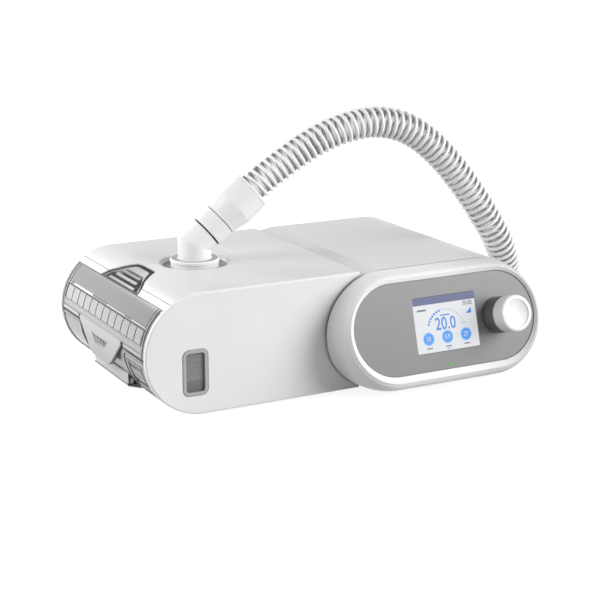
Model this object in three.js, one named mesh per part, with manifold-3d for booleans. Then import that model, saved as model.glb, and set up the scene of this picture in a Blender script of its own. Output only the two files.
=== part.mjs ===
// CPAP machine with a side humidifier tank, a tilted console and a ribbed breathing hose.
// Millimetres, +Z up. The front faces -Y and the tank's round end faces -X.
import * as THREE from 'three';
import { mergeVertices } from 'three/addons/utils/BufferGeometryUtils.js';
import Module from 'manifold-3d';

const wasm = await Module();
wasm.setup();

// Driving sizes
const bodyDepth = 165;
const bodyHeight = 84;
const humidifierReach = 133.7;
const mainWidth = 167;
const footHeight = 3;
const gap = 0.3;
const overrun = 2;
const deg = Math.PI / 180;

// Places that follow from the driving sizes: x is 0 at the centre of the tank's round end
const endRadius = bodyHeight / 2;
const axisZ = footHeight + endRadius;
const topZ = footHeight + bodyHeight;
const midY = bodyDepth / 2;
const mainLeftX = humidifierReach;
const mainRightX = mainLeftX + mainWidth - 2 * endRadius;
const mainMidX = (mainLeftX + mainRightX) / 2;

// Offsets of pieces from the side, middle or edge that carries them
const offset = { tankRight: 4, outletAhead: 0.2, blowerLeft: 24.3, blowerBehind: 9.5, inletLeft: 16.3,
  filterRight: 9.3, foamBack: 47, footRight: 16.7, ringSide: 5.15, ringHeight: 4.85, lampRise: 2.69 };

// Humidifier housing
const housing = { wall: 3, tip: 14.2, seatGap: 0.4, seatWall: 3.3, bevel: 0.8, topAngle: 130,
  ductRadius: 9.5 };
const ceilingZ = axisZ + endRadius * Math.sin(housing.topAngle * deg);
const floorZ = axisZ - endRadius * Math.sin(housing.topAngle * deg);
const tipX = mainLeftX - housing.tip;
const bayRight = mainLeftX - endRadius - housing.seatGap - housing.seatWall;

// Top cover and its grip notch: half widths across the depth, from the open side to the apex
const cover = { thick: 2.5, seamAngle: 122.3, right: 67, notchOpen: 34.4, notchWaist: 25, notchApex: 14,
  notchRound: 6 };
const notchApexX = -4.9;
const notchWaistX = -17.4;

// Outlet port on the top cover
const outlet = { x: 31, y: midY - offset.outletAhead, dishRadius: 25.5, dishFloor: 21.5, dishDepth: 4.2,
  boreRadius: 12.4 };
const socket = { wall: 2.6, flange: 18.6, flangeThick: 2, inner: 9.4 };

// Level window in the front plate
const levelWindow = { left: -15.5, right: 2.9, bottom: -28.4, top: 3.5, corner: 4.6, frame: 2.4,
  thick: 1.8, proud: 0.3 };
const lensThick = 1.4;

// Heater under the tank
const heater = { leftShare: 0.2611, radius: 40, thick: 3, elementOuter: 30, elementInner: 18,
  elementThick: 2 };

// Water tank
const tank = { wall: 2.2, right: bayRight - offset.tankRight, side: 0.5, parting: 0.9, sealWidth: 1.1,
  sealInset: 1, portRadius: 8 };
const tankPlate = { radius: 37, flange: 3, thick: 1.2 };
const ribBand = { from: 154.5, to: 168.5, count: 12, width: 0.6, depth: 0.6, end: 6 };
const frameLine = { angle: 152.4, end: 10, width: 0.9, depth: 0.7 };
const waistGroove = { from: 171, to: 176, depth: 1.1 };
const lowerPanel = { from: 184, to: 222, depth: 1, end: 5 };
const grip = { inset: 0.9, sink: 0.8, scoopFrom: 110, scoopTo: 129, scoopDepth: 3, rim: 4.2, floor: 1,
  bar: 1.7, barRise: 2.2, barRoot: 3 };
const gripBarHalf = { low: 22.4, middle: 18.8, top: 15.6 };
const gripBars = [{ angle: 127, half: gripBarHalf.low }, { angle: 120.4, half: gripBarHalf.middle },
  { angle: 114.4, half: gripBarHalf.top }];
const ledge = { inset: 7.4, half: 32, rise: 9.2, wall: 1.8, footInset: 18, footDrop: 3, rootAngle: 50 };
const ledgeX = endRadius - ledge.inset;
const ledgeFootX = endRadius - ledge.footInset;

// Lid clip on the tank's round end
const clip = { proud: 0.6, thick: 2.4, topHalf: 39.4, midHalf: 28.8, lowHalf: 13.4, midDrop: 9.5,
  lowDrop: 20 };
const clipRound = 4.5;
const clipMark = { topHalf: 16, lowHalf: 8, top: 3.8, bottom: 10.2, depth: 0.5 };
const clipHinge = { rise: 2.3, inset: 1.9, radius: 1.7, pinRadius: 0.8, pocketTop: 5.2, pocketDepth: 4.6,
  side: 0.5, lug: 3 };

// Main unit shells
const shell = { wall: 2.5, front: -2, post: 3.4, screwRadius: 1.4, headRadius: 2.8, headDeep: 4,
  screwReach: 14 };
const screwShares = [{ x: 0.02, y: 0.27 }, { x: 1, y: 0.27 }, { x: 0.02, y: 0.88 }, { x: 1, y: 0.88 }];

// Rear panel with the power socket and the air filter
const rear = { thick: 2.4, sink: 0.6 };
const filter = { x: mainRightX + offset.filterRight, z: 4, width: 42, height: 32, corner: 4, padThick: 5,
  coverThick: 2.2, slot: 1.7, slots: 7 };
const filterTray = { wall: 1.6, depth: 9 };
const powerInlet = { x: mainLeftX + offset.inletLeft, z: -8, width: 17, height: 14, depth: 14, hole: 4.4,
  pin: 1, pinSink: 1.2 };

// Blower, motor and electronics inside the main unit
const blower = { x: mainLeftX + offset.blowerLeft, y: midY + offset.blowerBehind, radius: 31, height: 24,
  wall: 2, low: -6, eye: 11, pipeRadius: 7, pipeWall: 1.4 };
const impeller = { radius: 26, disc: 1.6, hub: 6, bladeHeight: 12, bladeThick: 1.2, blades: 9, clear: 1.4,
  shaft: 1.5 };
const motor = { radius: 17, height: 20 };
const coupling = { rise: 11, bore: 7.4 };
const foam = { clear: 8.1, depth: 34, height: 44, y: bodyDepth - offset.foamBack };
const boardCanShares = [-0.34, 0.34];
const boardLegShares = { x: [-0.44, 0.44], y: [-0.42, 0.42] };
const board = { clear: 6.65, depth: 60, thick: 1.6, y: 36, rise: 6, chip: 16, chipThick: 2.4, can: 5,
  canHeight: 12 };
const boardLeft = mainLeftX + (mainRightX - mainLeftX) * screwShares[0].x + board.clear;
const boardRight = mainRightX - board.clear;
const boardX = (boardLeft + boardRight) / 2;
const boardWidth = boardRight - boardLeft;

// Console: its face plane leans back, and u runs right, v up the face, n out of it
const tilt = 16.4 * deg;
const consoleSize = { reach: 27, wall: 2.4, ringCentre: 3.95, ringHalfHeight: endRadius - offset.ringHeight,
  ringHalfWidth: mainWidth / 2 - offset.ringSide, steps: 5 };
const ring = { width: 3.4, crown: 0.8, plateSink: 0.7, seat: 1 };
const plateMargin = { side: 3.7, top: 4.23, bottom: 5.81 };
const plate = {
  centre: consoleSize.ringCentre + (plateMargin.bottom - plateMargin.top) / 2,
  halfHeight: consoleSize.ringHalfHeight - (plateMargin.bottom + plateMargin.top) / 2,
  halfWidth: consoleSize.ringHalfWidth - plateMargin.side, thick: 1.6,
};
const light = { radius: 1, flange: 1.5, length: 6, clear: 0.5 };
const lightUp = plate.centre - plate.halfHeight + offset.lampRise;
const screen = { centre: 4.8, width: 51.3, thick: 1.4, sink: 0.1, corner: 1 };
const display = { width: 62, border: 4.05, thick: 4.4, boardGrow: 4, boardThick: 1.6 };
const displayHeight = 2 * (screen.centre - lightUp - light.flange - light.clear - display.boardGrow);
const screenHeight = displayHeight - 2 * display.border;
const knob = { roomShare: 0.0611, up: 4.9, radius: 13, collarHeight: 11.6, capHeight: 12.4, wall: 1.8,
  rim: 1.2, dish: 0.5 };
const knobPress = { travel: 1, shaft: 3, bore: 3.4, plunger: 5, plungerThick: 2 };
const encoder = { half: 7, thick: 6.5, bush: 4.6, bushHigh: 5 };
const knobLeft = display.width / 2 + display.boardGrow + encoder.half;
const knobX = knobLeft + (plate.halfWidth - knob.radius - knobLeft) * knob.roomShare;

// Rubber feet
const foot = { radius: 7.5, sink: 1.2, leftX: 8, rightX: mainRightX - offset.footRight, inset: 19 };

// Elbow, sleeve and cuffs of the hose
const collar = { radius: 17.2, lip: 0.5, lipHeight: 2.2, height: 7 };
const elbow = { radius: 12, bore: 9.4, mitreRise: 13.6, azimuth: -8, climb: 40, leg: 11.4, spigot: 10,
  spigotRadius: 10.6 };
const sleeve = { start: 12.8, end: 13.3, length: 12.9 };
const cuff = { neck: 13.3, wide: 15.6, end: 15, cone: 13.2, length: 31.4, socket: 9, bore: 8.6 };
const maskCuff = { radius: 13.5, length: 38, bore: 11, boreDeep: 22, throat: 8.6 };

// Hose: outer radius at a rib, between ribs and at the bore
const hose = { radius: 11.7, valley: 10.3, bore: 8, lift: 0.15, ribPitch: 5.2, sides: 8, boreEvery: 4,
  step: 1 };
const hoseRoute = [
  [110.3, 71, 162.6], [130, 68.2, 172.6], [148.5, 65.6, 178.2], [168, 63, 180.2], [190.2, 59.8, 175.2],
  [209.6, 57, 162.8], [226, 54.8, 147], [244.4, 52.2, 124.2], [258, 50.5, 104.5], [271.6, 51.7, 84.6],
  [284.2, 58.6, 65.3], [295.3, 70.8, 47.7], [304, 87.6, 32.8], [310, 108, 21.4], [312.8, 131, 14.4],
  [312.6, 155, 11.9], [312.2, 180, 11.85], [312.4, 205, 11.85], [312.8, 230, 11.85],
];
const coil = { rightX: 313, y: 298.6, startRadius: 136.5, pitch: 24.7, sweep: 573, climbFrom: 455,
  climbTo: 560 };
const coilForm = { climb: 25.6, ribs: 50, boreEvery: 2, pointsPerTurn: 72 };

// Colours
const white = 0xe9e9e9;
const topGrey = 0xd9d9d9;
const plateGrey = 0x8a8a8a;
const darkGrey = 0x4f4f4f;
const smoke = 0x9a9c9e;
const steel = 0xb9bcc0;

// Materials of moulded plastic, metal, rubber and clear plastic
function plastic(color, roughness = 0.45) {
  return new THREE.MeshStandardMaterial({ color, roughness, metalness: 0 });
}
function metal(color) {
  return new THREE.MeshStandardMaterial({ color, roughness: 0.35, metalness: 1 });
}
function clear(color, opacity) {
  return new THREE.MeshStandardMaterial({ color, roughness: 0.08, metalness: 0, transparent: true, opacity });
}

// A closed manifold body from any closed geometry
function solid(geometry) {
  const bare = new THREE.BufferGeometry();
  bare.setAttribute('position', geometry.getAttribute('position').clone());
  if (geometry.index) bare.setIndex(geometry.index);
  const merged = mergeVertices(bare, gap / 1000);
  const index = merged.index.array;
  const kept = [];
  for (let i = 0; i < index.length; i += 3) {
    const [a, b, c] = [index[i], index[i + 1], index[i + 2]];
    if (a !== b && b !== c && a !== c) kept.push(a, b, c);
  }
  const positions = Float32Array.from(merged.getAttribute('position').array);
  return new wasm.Manifold(new wasm.Mesh({ numProp: 3, vertProperties: positions,
    triVerts: Uint32Array.from(kept) }));
}

// The geometry of a manifold body
function surface(body) {
  const raw = body.getMesh();
  const geometry = new THREE.BufferGeometry();
  geometry.setAttribute('position', new THREE.BufferAttribute(Float32Array.from(raw.vertProperties), 3));
  geometry.setIndex(Array.from(raw.triVerts));
  geometry.computeVertexNormals();
  return geometry;
}

// A body with others joined to it, and a body with others cut from it
function joined(body, ...others) {
  return others.reduce((sum, other) => sum.add(other), body);
}
function cut(body, ...tools) {
  return tools.reduce((left, tool) => left.subtract(tool), body);
}

// Extrusions: along the depth from an outline in x and z, upward from one in x and y,
// and leftward from one in y and z
function prism(shape, y0, y1, curveSegments = 8, bevel = 0) {
  const geometry = new THREE.ExtrudeGeometry(shape, {
    depth: y1 - y0 - 2 * bevel, curveSegments, steps: 1, bevelEnabled: bevel > 0,
    bevelSize: bevel, bevelThickness: bevel, bevelOffset: -bevel, bevelSegments: 1,
  });
  return solid(geometry.rotateX(Math.PI / 2).translate(0, y1 - bevel, 0));
}
function slab(shape, z0, z1, curveSegments = 4) {
  const geometry = new THREE.ExtrudeGeometry(shape,
    { depth: z1 - z0, curveSegments, steps: 1, bevelEnabled: false });
  return solid(geometry.translate(0, 0, z0));
}
function sideways(shape, x0, x1, curveSegments = 4) {
  const geometry = new THREE.ExtrudeGeometry(shape,
    { depth: x1 - x0, curveSegments, steps: 1, bevelEnabled: false });
  return solid(geometry.applyMatrix4(sideBasis).translate(x0, 0, 0));
}
const sideBasis = new THREE.Matrix4().makeBasis(
  new THREE.Vector3(0, 1, 0), new THREE.Vector3(0, 0, 1), new THREE.Vector3(1, 0, 0));

// A box between two corners, and a turned body about +Z from [radius, z] pairs
function block(x0, x1, y0, y1, z0, z1) {
  const geometry = new THREE.BoxGeometry(x1 - x0, y1 - y0, z1 - z0);
  return solid(geometry.translate((x0 + x1) / 2, (y0 + y1) / 2, (z0 + z1) / 2));
}
function turned(profile, segments = 24) {
  const points = profile.map(([radius, z]) => new THREE.Vector2(radius, z));
  return solid(new THREE.LatheGeometry(points, segments).rotateX(Math.PI / 2));
}
function disc(radius, z0, z1, segments = 24) {
  return turned([[0, z0], [radius, z0], [radius, z1], [0, z1]], segments);
}
function pipe(inner, outer, z0, z1, segments = 24) {
  return turned([[inner, z0], [outer, z0], [outer, z1], [inner, z1], [inner, z0]], segments);
}
function placed(body, matrix) {
  return body.transform(matrix.elements);
}
function at(x, y, z) {
  return new THREE.Matrix4().makeTranslation(x, y, z);
}

// Outlines
function stadium(centreX, centreY, halfWidth, halfHeight) {
  const shape = new THREE.Shape();
  const run = halfWidth - halfHeight;
  shape.absarc(centreX + run, centreY, halfHeight, -Math.PI / 2, Math.PI / 2, false);
  shape.absarc(centreX - run, centreY, halfHeight, Math.PI / 2, 1.5 * Math.PI, false);
  shape.closePath();
  return shape;
}
function roundedBox(x0, x1, y0, y1, corner) {
  const shape = new THREE.Shape();
  shape.absarc(x1 - corner, y0 + corner, corner, -Math.PI / 2, 0, false);
  shape.absarc(x1 - corner, y1 - corner, corner, 0, Math.PI / 2, false);
  shape.absarc(x0 + corner, y1 - corner, corner, Math.PI / 2, Math.PI, false);
  shape.absarc(x0 + corner, y0 + corner, corner, Math.PI, 1.5 * Math.PI, false);
  shape.closePath();
  return shape;
}

// A band of the tank's round end between two radii and two polar angles
function band(inner, outer, fromAngle, toAngle) {
  const shape = new THREE.Shape();
  shape.absarc(0, axisZ, outer, fromAngle * deg, toAngle * deg, false);
  shape.absarc(0, axisZ, inner, toAngle * deg, fromAngle * deg, true);
  shape.closePath();
  return shape;
}

// Finished meshes
const machine = new THREE.Group();
const cordNames = new Set();
function place(name, body, material) {
  const mesh = new THREE.Mesh(surface(body), material);
  mesh.name = name;
  machine.add(mesh);
  return mesh;
}

// Humidifier housing: its outline is round at the left and hollowed at the right for the main unit
function housingOutline() {
  const seatRadius = endRadius + housing.seatGap;
  const reach = Math.acos(housing.tip / seatRadius);
  const shape = new THREE.Shape();
  shape.absarc(0, axisZ, endRadius, Math.PI / 2, 1.5 * Math.PI, false);
  shape.lineTo(tipX, footHeight);
  shape.absarc(mainLeftX, axisZ, seatRadius, Math.PI + reach, Math.PI - reach, true);
  shape.lineTo(tipX, topZ);
  shape.closePath();
  return shape;
}

// The grip notch, seen from above, grown or shrunk all round
function notchOutline(grow) {
  const open = cover.notchOpen + grow;
  const waist = cover.notchWaist + grow;
  const apex = cover.notchApex + grow;
  const endX = notchApexX + grow;
  const round = cover.notchRound;
  const shape = new THREE.Shape();
  shape.moveTo(-endRadius - overrun, midY - open);
  shape.lineTo(endRadius * Math.cos(housing.topAngle * deg), midY - open);
  shape.quadraticCurveTo(notchWaistX - round, midY - open, notchWaistX, midY - waist);
  shape.quadraticCurveTo(endX, midY - apex - round / 2, endX, midY - apex + round / 2);
  shape.lineTo(endX, midY + apex - round / 2);
  shape.quadraticCurveTo(endX, midY + apex + round / 2, notchWaistX, midY + waist);
  shape.quadraticCurveTo(notchWaistX - round, midY + open, endRadius * Math.cos(housing.topAngle * deg),
    midY + open);
  shape.lineTo(-endRadius - overrun, midY + open);
  shape.closePath();
  return shape;
}

// The cover's section: thin at the round end, flat over the deck
function coverSection(inner, outer, angle, right) {
  const shape = new THREE.Shape();
  shape.absarc(0, axisZ, outer, Math.PI / 2, angle * deg, false);
  shape.absarc(0, axisZ, inner, angle * deg, Math.PI / 2, true);
  shape.lineTo(right, axisZ + inner);
  shape.lineTo(right, axisZ + outer);
  shape.closePath();
  return shape;
}

function buildHousing() {
  const body = prism(housingOutline(), 0, bodyDepth, 8, housing.bevel);
  const bay = block(-endRadius - overrun, bayRight, housing.wall, bodyDepth - housing.wall,
    floorZ, ceilingZ);
  const coverSeat = prism(
    coverSection(endRadius - cover.thick - gap, endRadius + overrun,
      cover.seamAngle + gap / endRadius / deg, cover.right + gap),
    housing.wall - gap, bodyDepth - housing.wall + gap, 3);
  const notch = slab(notchOutline(0), floorZ, topZ + overrun);
  const ledgeRoom = block(-endRadius - overrun, -ledgeFootX + housing.wall, midY - ledge.half - housing.wall,
    midY + ledge.half + housing.wall, floorZ - ledge.footDrop - housing.seatGap - gap, floorZ + overrun);
  const windowHole = prism(windowOutline(gap), -overrun, housing.wall + overrun, 3);
  const outletBore = placed(disc(outlet.boreRadius + socket.wall + gap, ceilingZ - overrun, topZ),
    at(outlet.x, outlet.y, 0));
  const flangeSeat = placed(disc(socket.flange + gap, topZ - outlet.dishDepth - socket.flangeThick - gap,
    topZ), at(outlet.x, outlet.y, 0));
  const heaterWell = placed(disc(heater.radius + gap,
    floorZ - heater.thick - heater.elementThick - 2 * gap, floorZ + overrun, 32),
    at(heaterX, midY, 0));
  const duct = alongX(housing.ductRadius, bayRight - overrun, mainLeftX, midY, axisZ + coupling.rise);
  const feetWells = [foot.inset, bodyDepth - foot.inset].map((y) =>
    placed(disc(foot.radius + gap, 0, footHeight + foot.sink + gap, 16), at(foot.leftX, y, 0)));
  return cut(body, bay, coverSeat, notch, ledgeRoom, windowHole, outletBore, flangeSeat, heaterWell, duct,
    ...feetWells);
}

// A rod along X through y and z
function alongX(radius, x0, x1, y, z, segments = 16) {
  const turn = new THREE.Matrix4().makeRotationY(Math.PI / 2);
  return placed(placed(disc(radius, x0, x1, segments), turn), at(0, y, z));
}
function tubeAlongX(inner, outer, x0, x1, y, z) {
  return cut(alongX(outer, x0, x1, y, z), alongX(inner, x0 - overrun, x1 + overrun, y, z));
}
function alongY(radius, y0, y1, x, z, segments = 16) {
  const turn = new THREE.Matrix4().makeRotationX(-Math.PI / 2);
  return placed(placed(disc(radius, y0, y1, segments), turn), at(x, 0, z));
}

function buildTopCover() {
  const plateBody = prism(coverSection(endRadius - cover.thick, endRadius, cover.seamAngle, cover.right),
    housing.wall, bodyDepth - housing.wall, 4);
  const notch = slab(notchOutline(0), floorZ, topZ + overrun);
  const dish = turned([[0, topZ - outlet.dishDepth], [outlet.dishFloor, topZ - outlet.dishDepth],
    [outlet.dishRadius, topZ], [outlet.dishRadius, topZ + overrun], [0, topZ + overrun]], 28);
  return cut(plateBody, notch, placed(dish, at(outlet.x, outlet.y, 0)));
}

// Outlet socket: a flanged tube that carries the elbow
function buildOutlet() {
  const flangeTop = topZ - outlet.dishDepth;
  const body = turned([[socket.inner, ceilingZ + gap], [outlet.boreRadius + socket.wall, ceilingZ + gap],
    [outlet.boreRadius + socket.wall, flangeTop - socket.flangeThick],
      [socket.flange, flangeTop - socket.flangeThick],
    [socket.flange, flangeTop], [socket.inner, flangeTop], [socket.inner, ceilingZ + gap]]);
  place('outlet_socket', placed(body, at(outlet.x, outlet.y, 0)), plastic(0x6c6c6c));
}

// Level window: a rounded frame in the front plate round a clear lens
function windowOutline(grow) {
  const w = levelWindow;
  return roundedBox(w.left - grow, w.right + grow, axisZ + w.bottom - grow, axisZ + w.top + grow,
    w.corner + grow);
}
function buildLevelWindow() {
  const w = levelWindow;
  const frame = prism(windowOutline(0), -w.proud, housing.wall, 3);
  const opening = prism(windowOutline(-w.frame), -overrun, housing.wall + overrun, 3);
  const rebate = prism(windowOutline(gap - w.frame / 2), housing.wall - lensThick - gap,
    housing.wall + overrun, 3);
  place('level_window_frame', cut(frame, opening, rebate), plastic(0xb6b8ba));
  place('level_window_lens', prism(windowOutline(-w.frame / 2), housing.wall - lensThick, housing.wall,
    3), clear(0x5a5d60, 0.7));
}

// Heater: an aluminium plate over a ring element in the floor of the bay
function buildHeater() {
  const top = floorZ - gap;
  const plateBody = disc(heater.radius, top - heater.thick, top, 32);
  const element = pipe(heater.elementInner, heater.elementOuter,
    top - heater.thick - gap - heater.elementThick + gap,
    top - heater.thick - gap);
  place('heater_plate', placed(plateBody, at(heaterX, midY, 0)), metal(0xc4c6c8));
  place('heater_element', placed(element, at(heaterX, midY, 0)), metal(0x8d6b4d));
}

// Tank section: the round end, flat top or bottom, and the blind right end
function tankSection(radius, top, bottom, right) {
  const shape = new THREE.Shape();
  const topAngle = Math.PI - Math.asin((top - axisZ) / radius);
  const bottomAngle = Math.PI + Math.asin((axisZ - bottom) / radius);
  shape.absarc(0, axisZ, radius, topAngle, bottomAngle, false);
  shape.lineTo(right, bottom);
  shape.lineTo(right, top);
  shape.closePath();
  return shape;
}

const tankFront = housing.wall + tank.side;
const tankBack = bodyDepth - housing.wall - tank.side;
const lidTop = ceilingZ - gap;
const lidBottom = axisZ;
const baseTop = axisZ - tank.parting - 2 * gap;
const baseBottom = floorZ + gap;
const tankFloorZ = baseBottom + tank.wall;
const tankFloorLeft = -Math.sqrt((endRadius - lowerPanel.depth - tank.wall) ** 2 - (axisZ - tankFloorZ) ** 2);
const plateReach = tankPlate.radius + tankPlate.flange;
const heaterX = tankFloorLeft + plateReach
  + (tank.right - tank.wall - tankFloorLeft - 2 * plateReach) * heater.leftShare;
const hingeX = -endRadius + clipHinge.inset;
const hingeZ = axisZ + clipHinge.rise;

function buildTankLid() {
  const outer = prism(tankSection(endRadius, lidTop, lidBottom, tank.right), tankFront, tankBack, 5);
  const inner = prism(tankSection(endRadius - tank.wall, lidTop - tank.wall, lidBottom - overrun,
    tank.right - tank.wall),
    tankFront + tank.wall, tankBack - tank.wall, 3);
  const behindClip = block(-endRadius + tank.wall, hingeX + clipHinge.pocketDepth + tank.wall,
    midY - clip.topHalf - clipHinge.side - clipHinge.lug,
      midY + clip.topHalf + clipHinge.side + clipHinge.lug,
    lidBottom, axisZ + clipHinge.pocketTop + tank.wall);
  const pocket = block(-endRadius - overrun, -endRadius + clipHinge.pocketDepth,
    midY - clip.topHalf - clipHinge.side, midY + clip.topHalf + clipHinge.side,
    lidBottom - overrun, axisZ + clipHinge.pocketTop);
  const pinHole = alongY(clipHinge.pinRadius + gap, midY - clip.topHalf - clipHinge.side - clipHinge.lug,
    midY + clip.topHalf + clipHinge.side + clipHinge.lug, hingeX, hingeZ, 10);
  const outletPort = placed(disc(tank.portRadius, lidTop - tank.wall - overrun, lidTop + overrun, 24),
    at(outlet.x, outlet.y, 0));
  const inletPort = alongX(tank.portRadius, tank.right - tank.wall - overrun, tank.right + overrun, midY,
    axisZ + coupling.rise);
  const tools = [inletPort, outletPort, pocket, pinHole];
  const bandLength = tankBack - tankFront - 2 * ribBand.end;
  for (let i = 0; i <= ribBand.count; i += 1) {
    const y = tankFront + ribBand.end + bandLength * i / ribBand.count;
    tools.push(prism(band(endRadius - ribBand.depth, endRadius + overrun, ribBand.from, ribBand.to),
      y - ribBand.width / 2, y + ribBand.width / 2, 1));
  }
  const halfLine = frameLine.width / 2 / endRadius / deg;
  tools.push(prism(band(endRadius - frameLine.depth, endRadius + overrun, frameLine.angle - halfLine,
    frameLine.angle + halfLine),
    tankFront + frameLine.end, tankBack - frameLine.end, 2));
  for (const y of [tankFront + frameLine.end, tankBack - frameLine.end]) {
    tools.push(prism(band(endRadius - frameLine.depth, endRadius + overrun, housing.topAngle + halfLine,
      frameLine.angle + halfLine),
      y - frameLine.width / 2, y + frameLine.width / 2, 2));
  }
  const grooveBand = band(endRadius - waistGroove.depth, endRadius + overrun, waistGroove.from,
    waistGroove.to);
  const grooveSides = [[tankFront, midY - clip.topHalf - clipHinge.lug],
    [midY + clip.topHalf + clipHinge.lug, tankBack]];
  for (const [y0, y1] of grooveSides) tools.push(prism(grooveBand, y0 + ribBand.end, y1 - ribBand.end, 2));
  return cut(joined(cut(outer, inner), behindClip), ...tools);
}

// Grip: a clear hump in the cover's notch with a scoop and three bars
function buildGrip() {
  const outline = slab(notchOutline(-grip.inset), ceilingZ, topZ);
  const round = prism(band(0, endRadius - grip.sink, 90, housing.topAngle + 1), 0, bodyDepth);
  const right = block(-endRadius, 0, 0, bodyDepth, ceilingZ + gap, topZ);
  const hump = outline.intersect(round).intersect(right);
  const floorRadius = endRadius - grip.sink - grip.scoopDepth;
  const aboveFloor = block(-endRadius, 0, 0, bodyDepth, ceilingZ + gap + grip.floor, topZ);
  const scoop = slab(notchOutline(-grip.inset - grip.rim), ceilingZ, topZ).intersect(aboveFloor).intersect(
    prism(band(floorRadius, endRadius, grip.scoopFrom, grip.scoopTo), 0, bodyDepth));
  const halfBar = grip.bar / 2 / endRadius / deg;
  const bars = gripBars.map(({ angle, half }) => prism(
    band(floorRadius - grip.barRoot, floorRadius + grip.barRise, angle - halfBar, angle + halfBar),
      midY - half, midY + half, 2));
  return joined(hump.subtract(scoop), ...bars.map((bar) => bar.intersect(right)));
}

function buildTankBase() {
  const outer = prism(tankSection(endRadius, baseTop, baseBottom, tank.right), tankFront, tankBack, 5);
  const inner = prism(tankSection(endRadius - lowerPanel.depth - tank.wall, baseTop + overrun,
    baseBottom + tank.wall, tank.right - tank.wall),
    tankFront + tank.wall, tankBack - tank.wall, 3);
  const panel = prism(band(endRadius - lowerPanel.depth, endRadius + overrun, lowerPanel.from, lowerPanel.to),
    tankFront + lowerPanel.end, tankBack - lowerPanel.end, 4);
  const clipRoom = prism(band(endRadius - lowerPanel.depth, endRadius + overrun, 180, lowerPanel.to),
    midY - clip.topHalf - clipHinge.side, midY + clip.topHalf + clipHinge.side, 4);
  const plateHole = placed(disc(tankPlate.radius + gap, baseBottom - overrun,
    baseBottom + tank.wall + overrun, 32), at(heaterX, midY, 0));
  return joined(cut(outer, inner, panel, clipRoom, plateHole), buildLedge());
}

// Finger ledge under the clip: a clear bracket that stands off the round end, open at its ends
function buildLedge() {
  const section = new THREE.Shape();
  section.moveTo(-ledgeX, floorZ + ledge.rise);
  section.lineTo(-ledgeX, floorZ);
  section.lineTo(-ledgeFootX, floorZ - ledge.footDrop);
  section.lineTo(-ledgeFootX, baseBottom + tank.wall / 2);
  section.lineTo(-endRadius * Math.cos(ledge.rootAngle * deg),
    axisZ - endRadius * Math.sin(ledge.rootAngle * deg) + tank.wall);
  section.lineTo(-ledgeX + ledge.wall, floorZ + ledge.rise + ledge.wall / 2);
  section.closePath();
  const bracket = prism(section, midY - ledge.half, midY + ledge.half);
  const hollow = new THREE.Shape();
  hollow.moveTo(-ledgeX + ledge.wall, floorZ + ledge.rise - ledge.wall);
  hollow.lineTo(-ledgeX + ledge.wall, floorZ + ledge.wall / 2);
  hollow.lineTo(-ledgeFootX - ledge.wall, floorZ - ledge.footDrop + 2 * ledge.wall);
  hollow.closePath();
  const round = prism(tankSection(endRadius - lowerPanel.depth - tank.wall / 2, baseTop, baseBottom,
    tank.right),
    midY - ledge.half - overrun, midY + ledge.half + overrun);
  return cut(bracket, prism(hollow, midY - ledge.half - overrun, midY + ledge.half + overrun), round);
}

// Seal between lid and base, inside both rims
function buildTankSeal() {
  const top = lidBottom - gap;
  const bottom = baseTop + gap;
  const section = (inset) => prism(tankSection(endRadius - inset, top, bottom, tank.right - inset),
    tankFront + inset, tankBack - inset);
  const hole = prism(tankSection(endRadius - tank.sealInset - tank.sealWidth, top + overrun, bottom - overrun,
    tank.right - tank.sealInset - tank.sealWidth), tankFront + tank.sealInset + tank.sealWidth,
  tankBack - tank.sealInset - tank.sealWidth);
  return cut(section(tank.sealInset), hole);
}

// Heat plate: a flanged steel pan pressed into the floor of the tank
function buildTankPlate() {
  const floorTop = tankFloorZ;
  const body = turned([[0, baseBottom], [tankPlate.radius, baseBottom], [tankPlate.radius, floorTop + gap],
    [tankPlate.radius + tankPlate.flange, floorTop + gap],
      [tankPlate.radius + tankPlate.flange, floorTop + gap + tankPlate.thick],
    [tankPlate.radius - tankPlate.thick, floorTop + gap + tankPlate.thick],
      [tankPlate.radius - tankPlate.thick, baseBottom + tankPlate.thick],
    [0, baseBottom + tankPlate.thick]], 32);
  return placed(body, at(heaterX, midY, 0));
}

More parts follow.
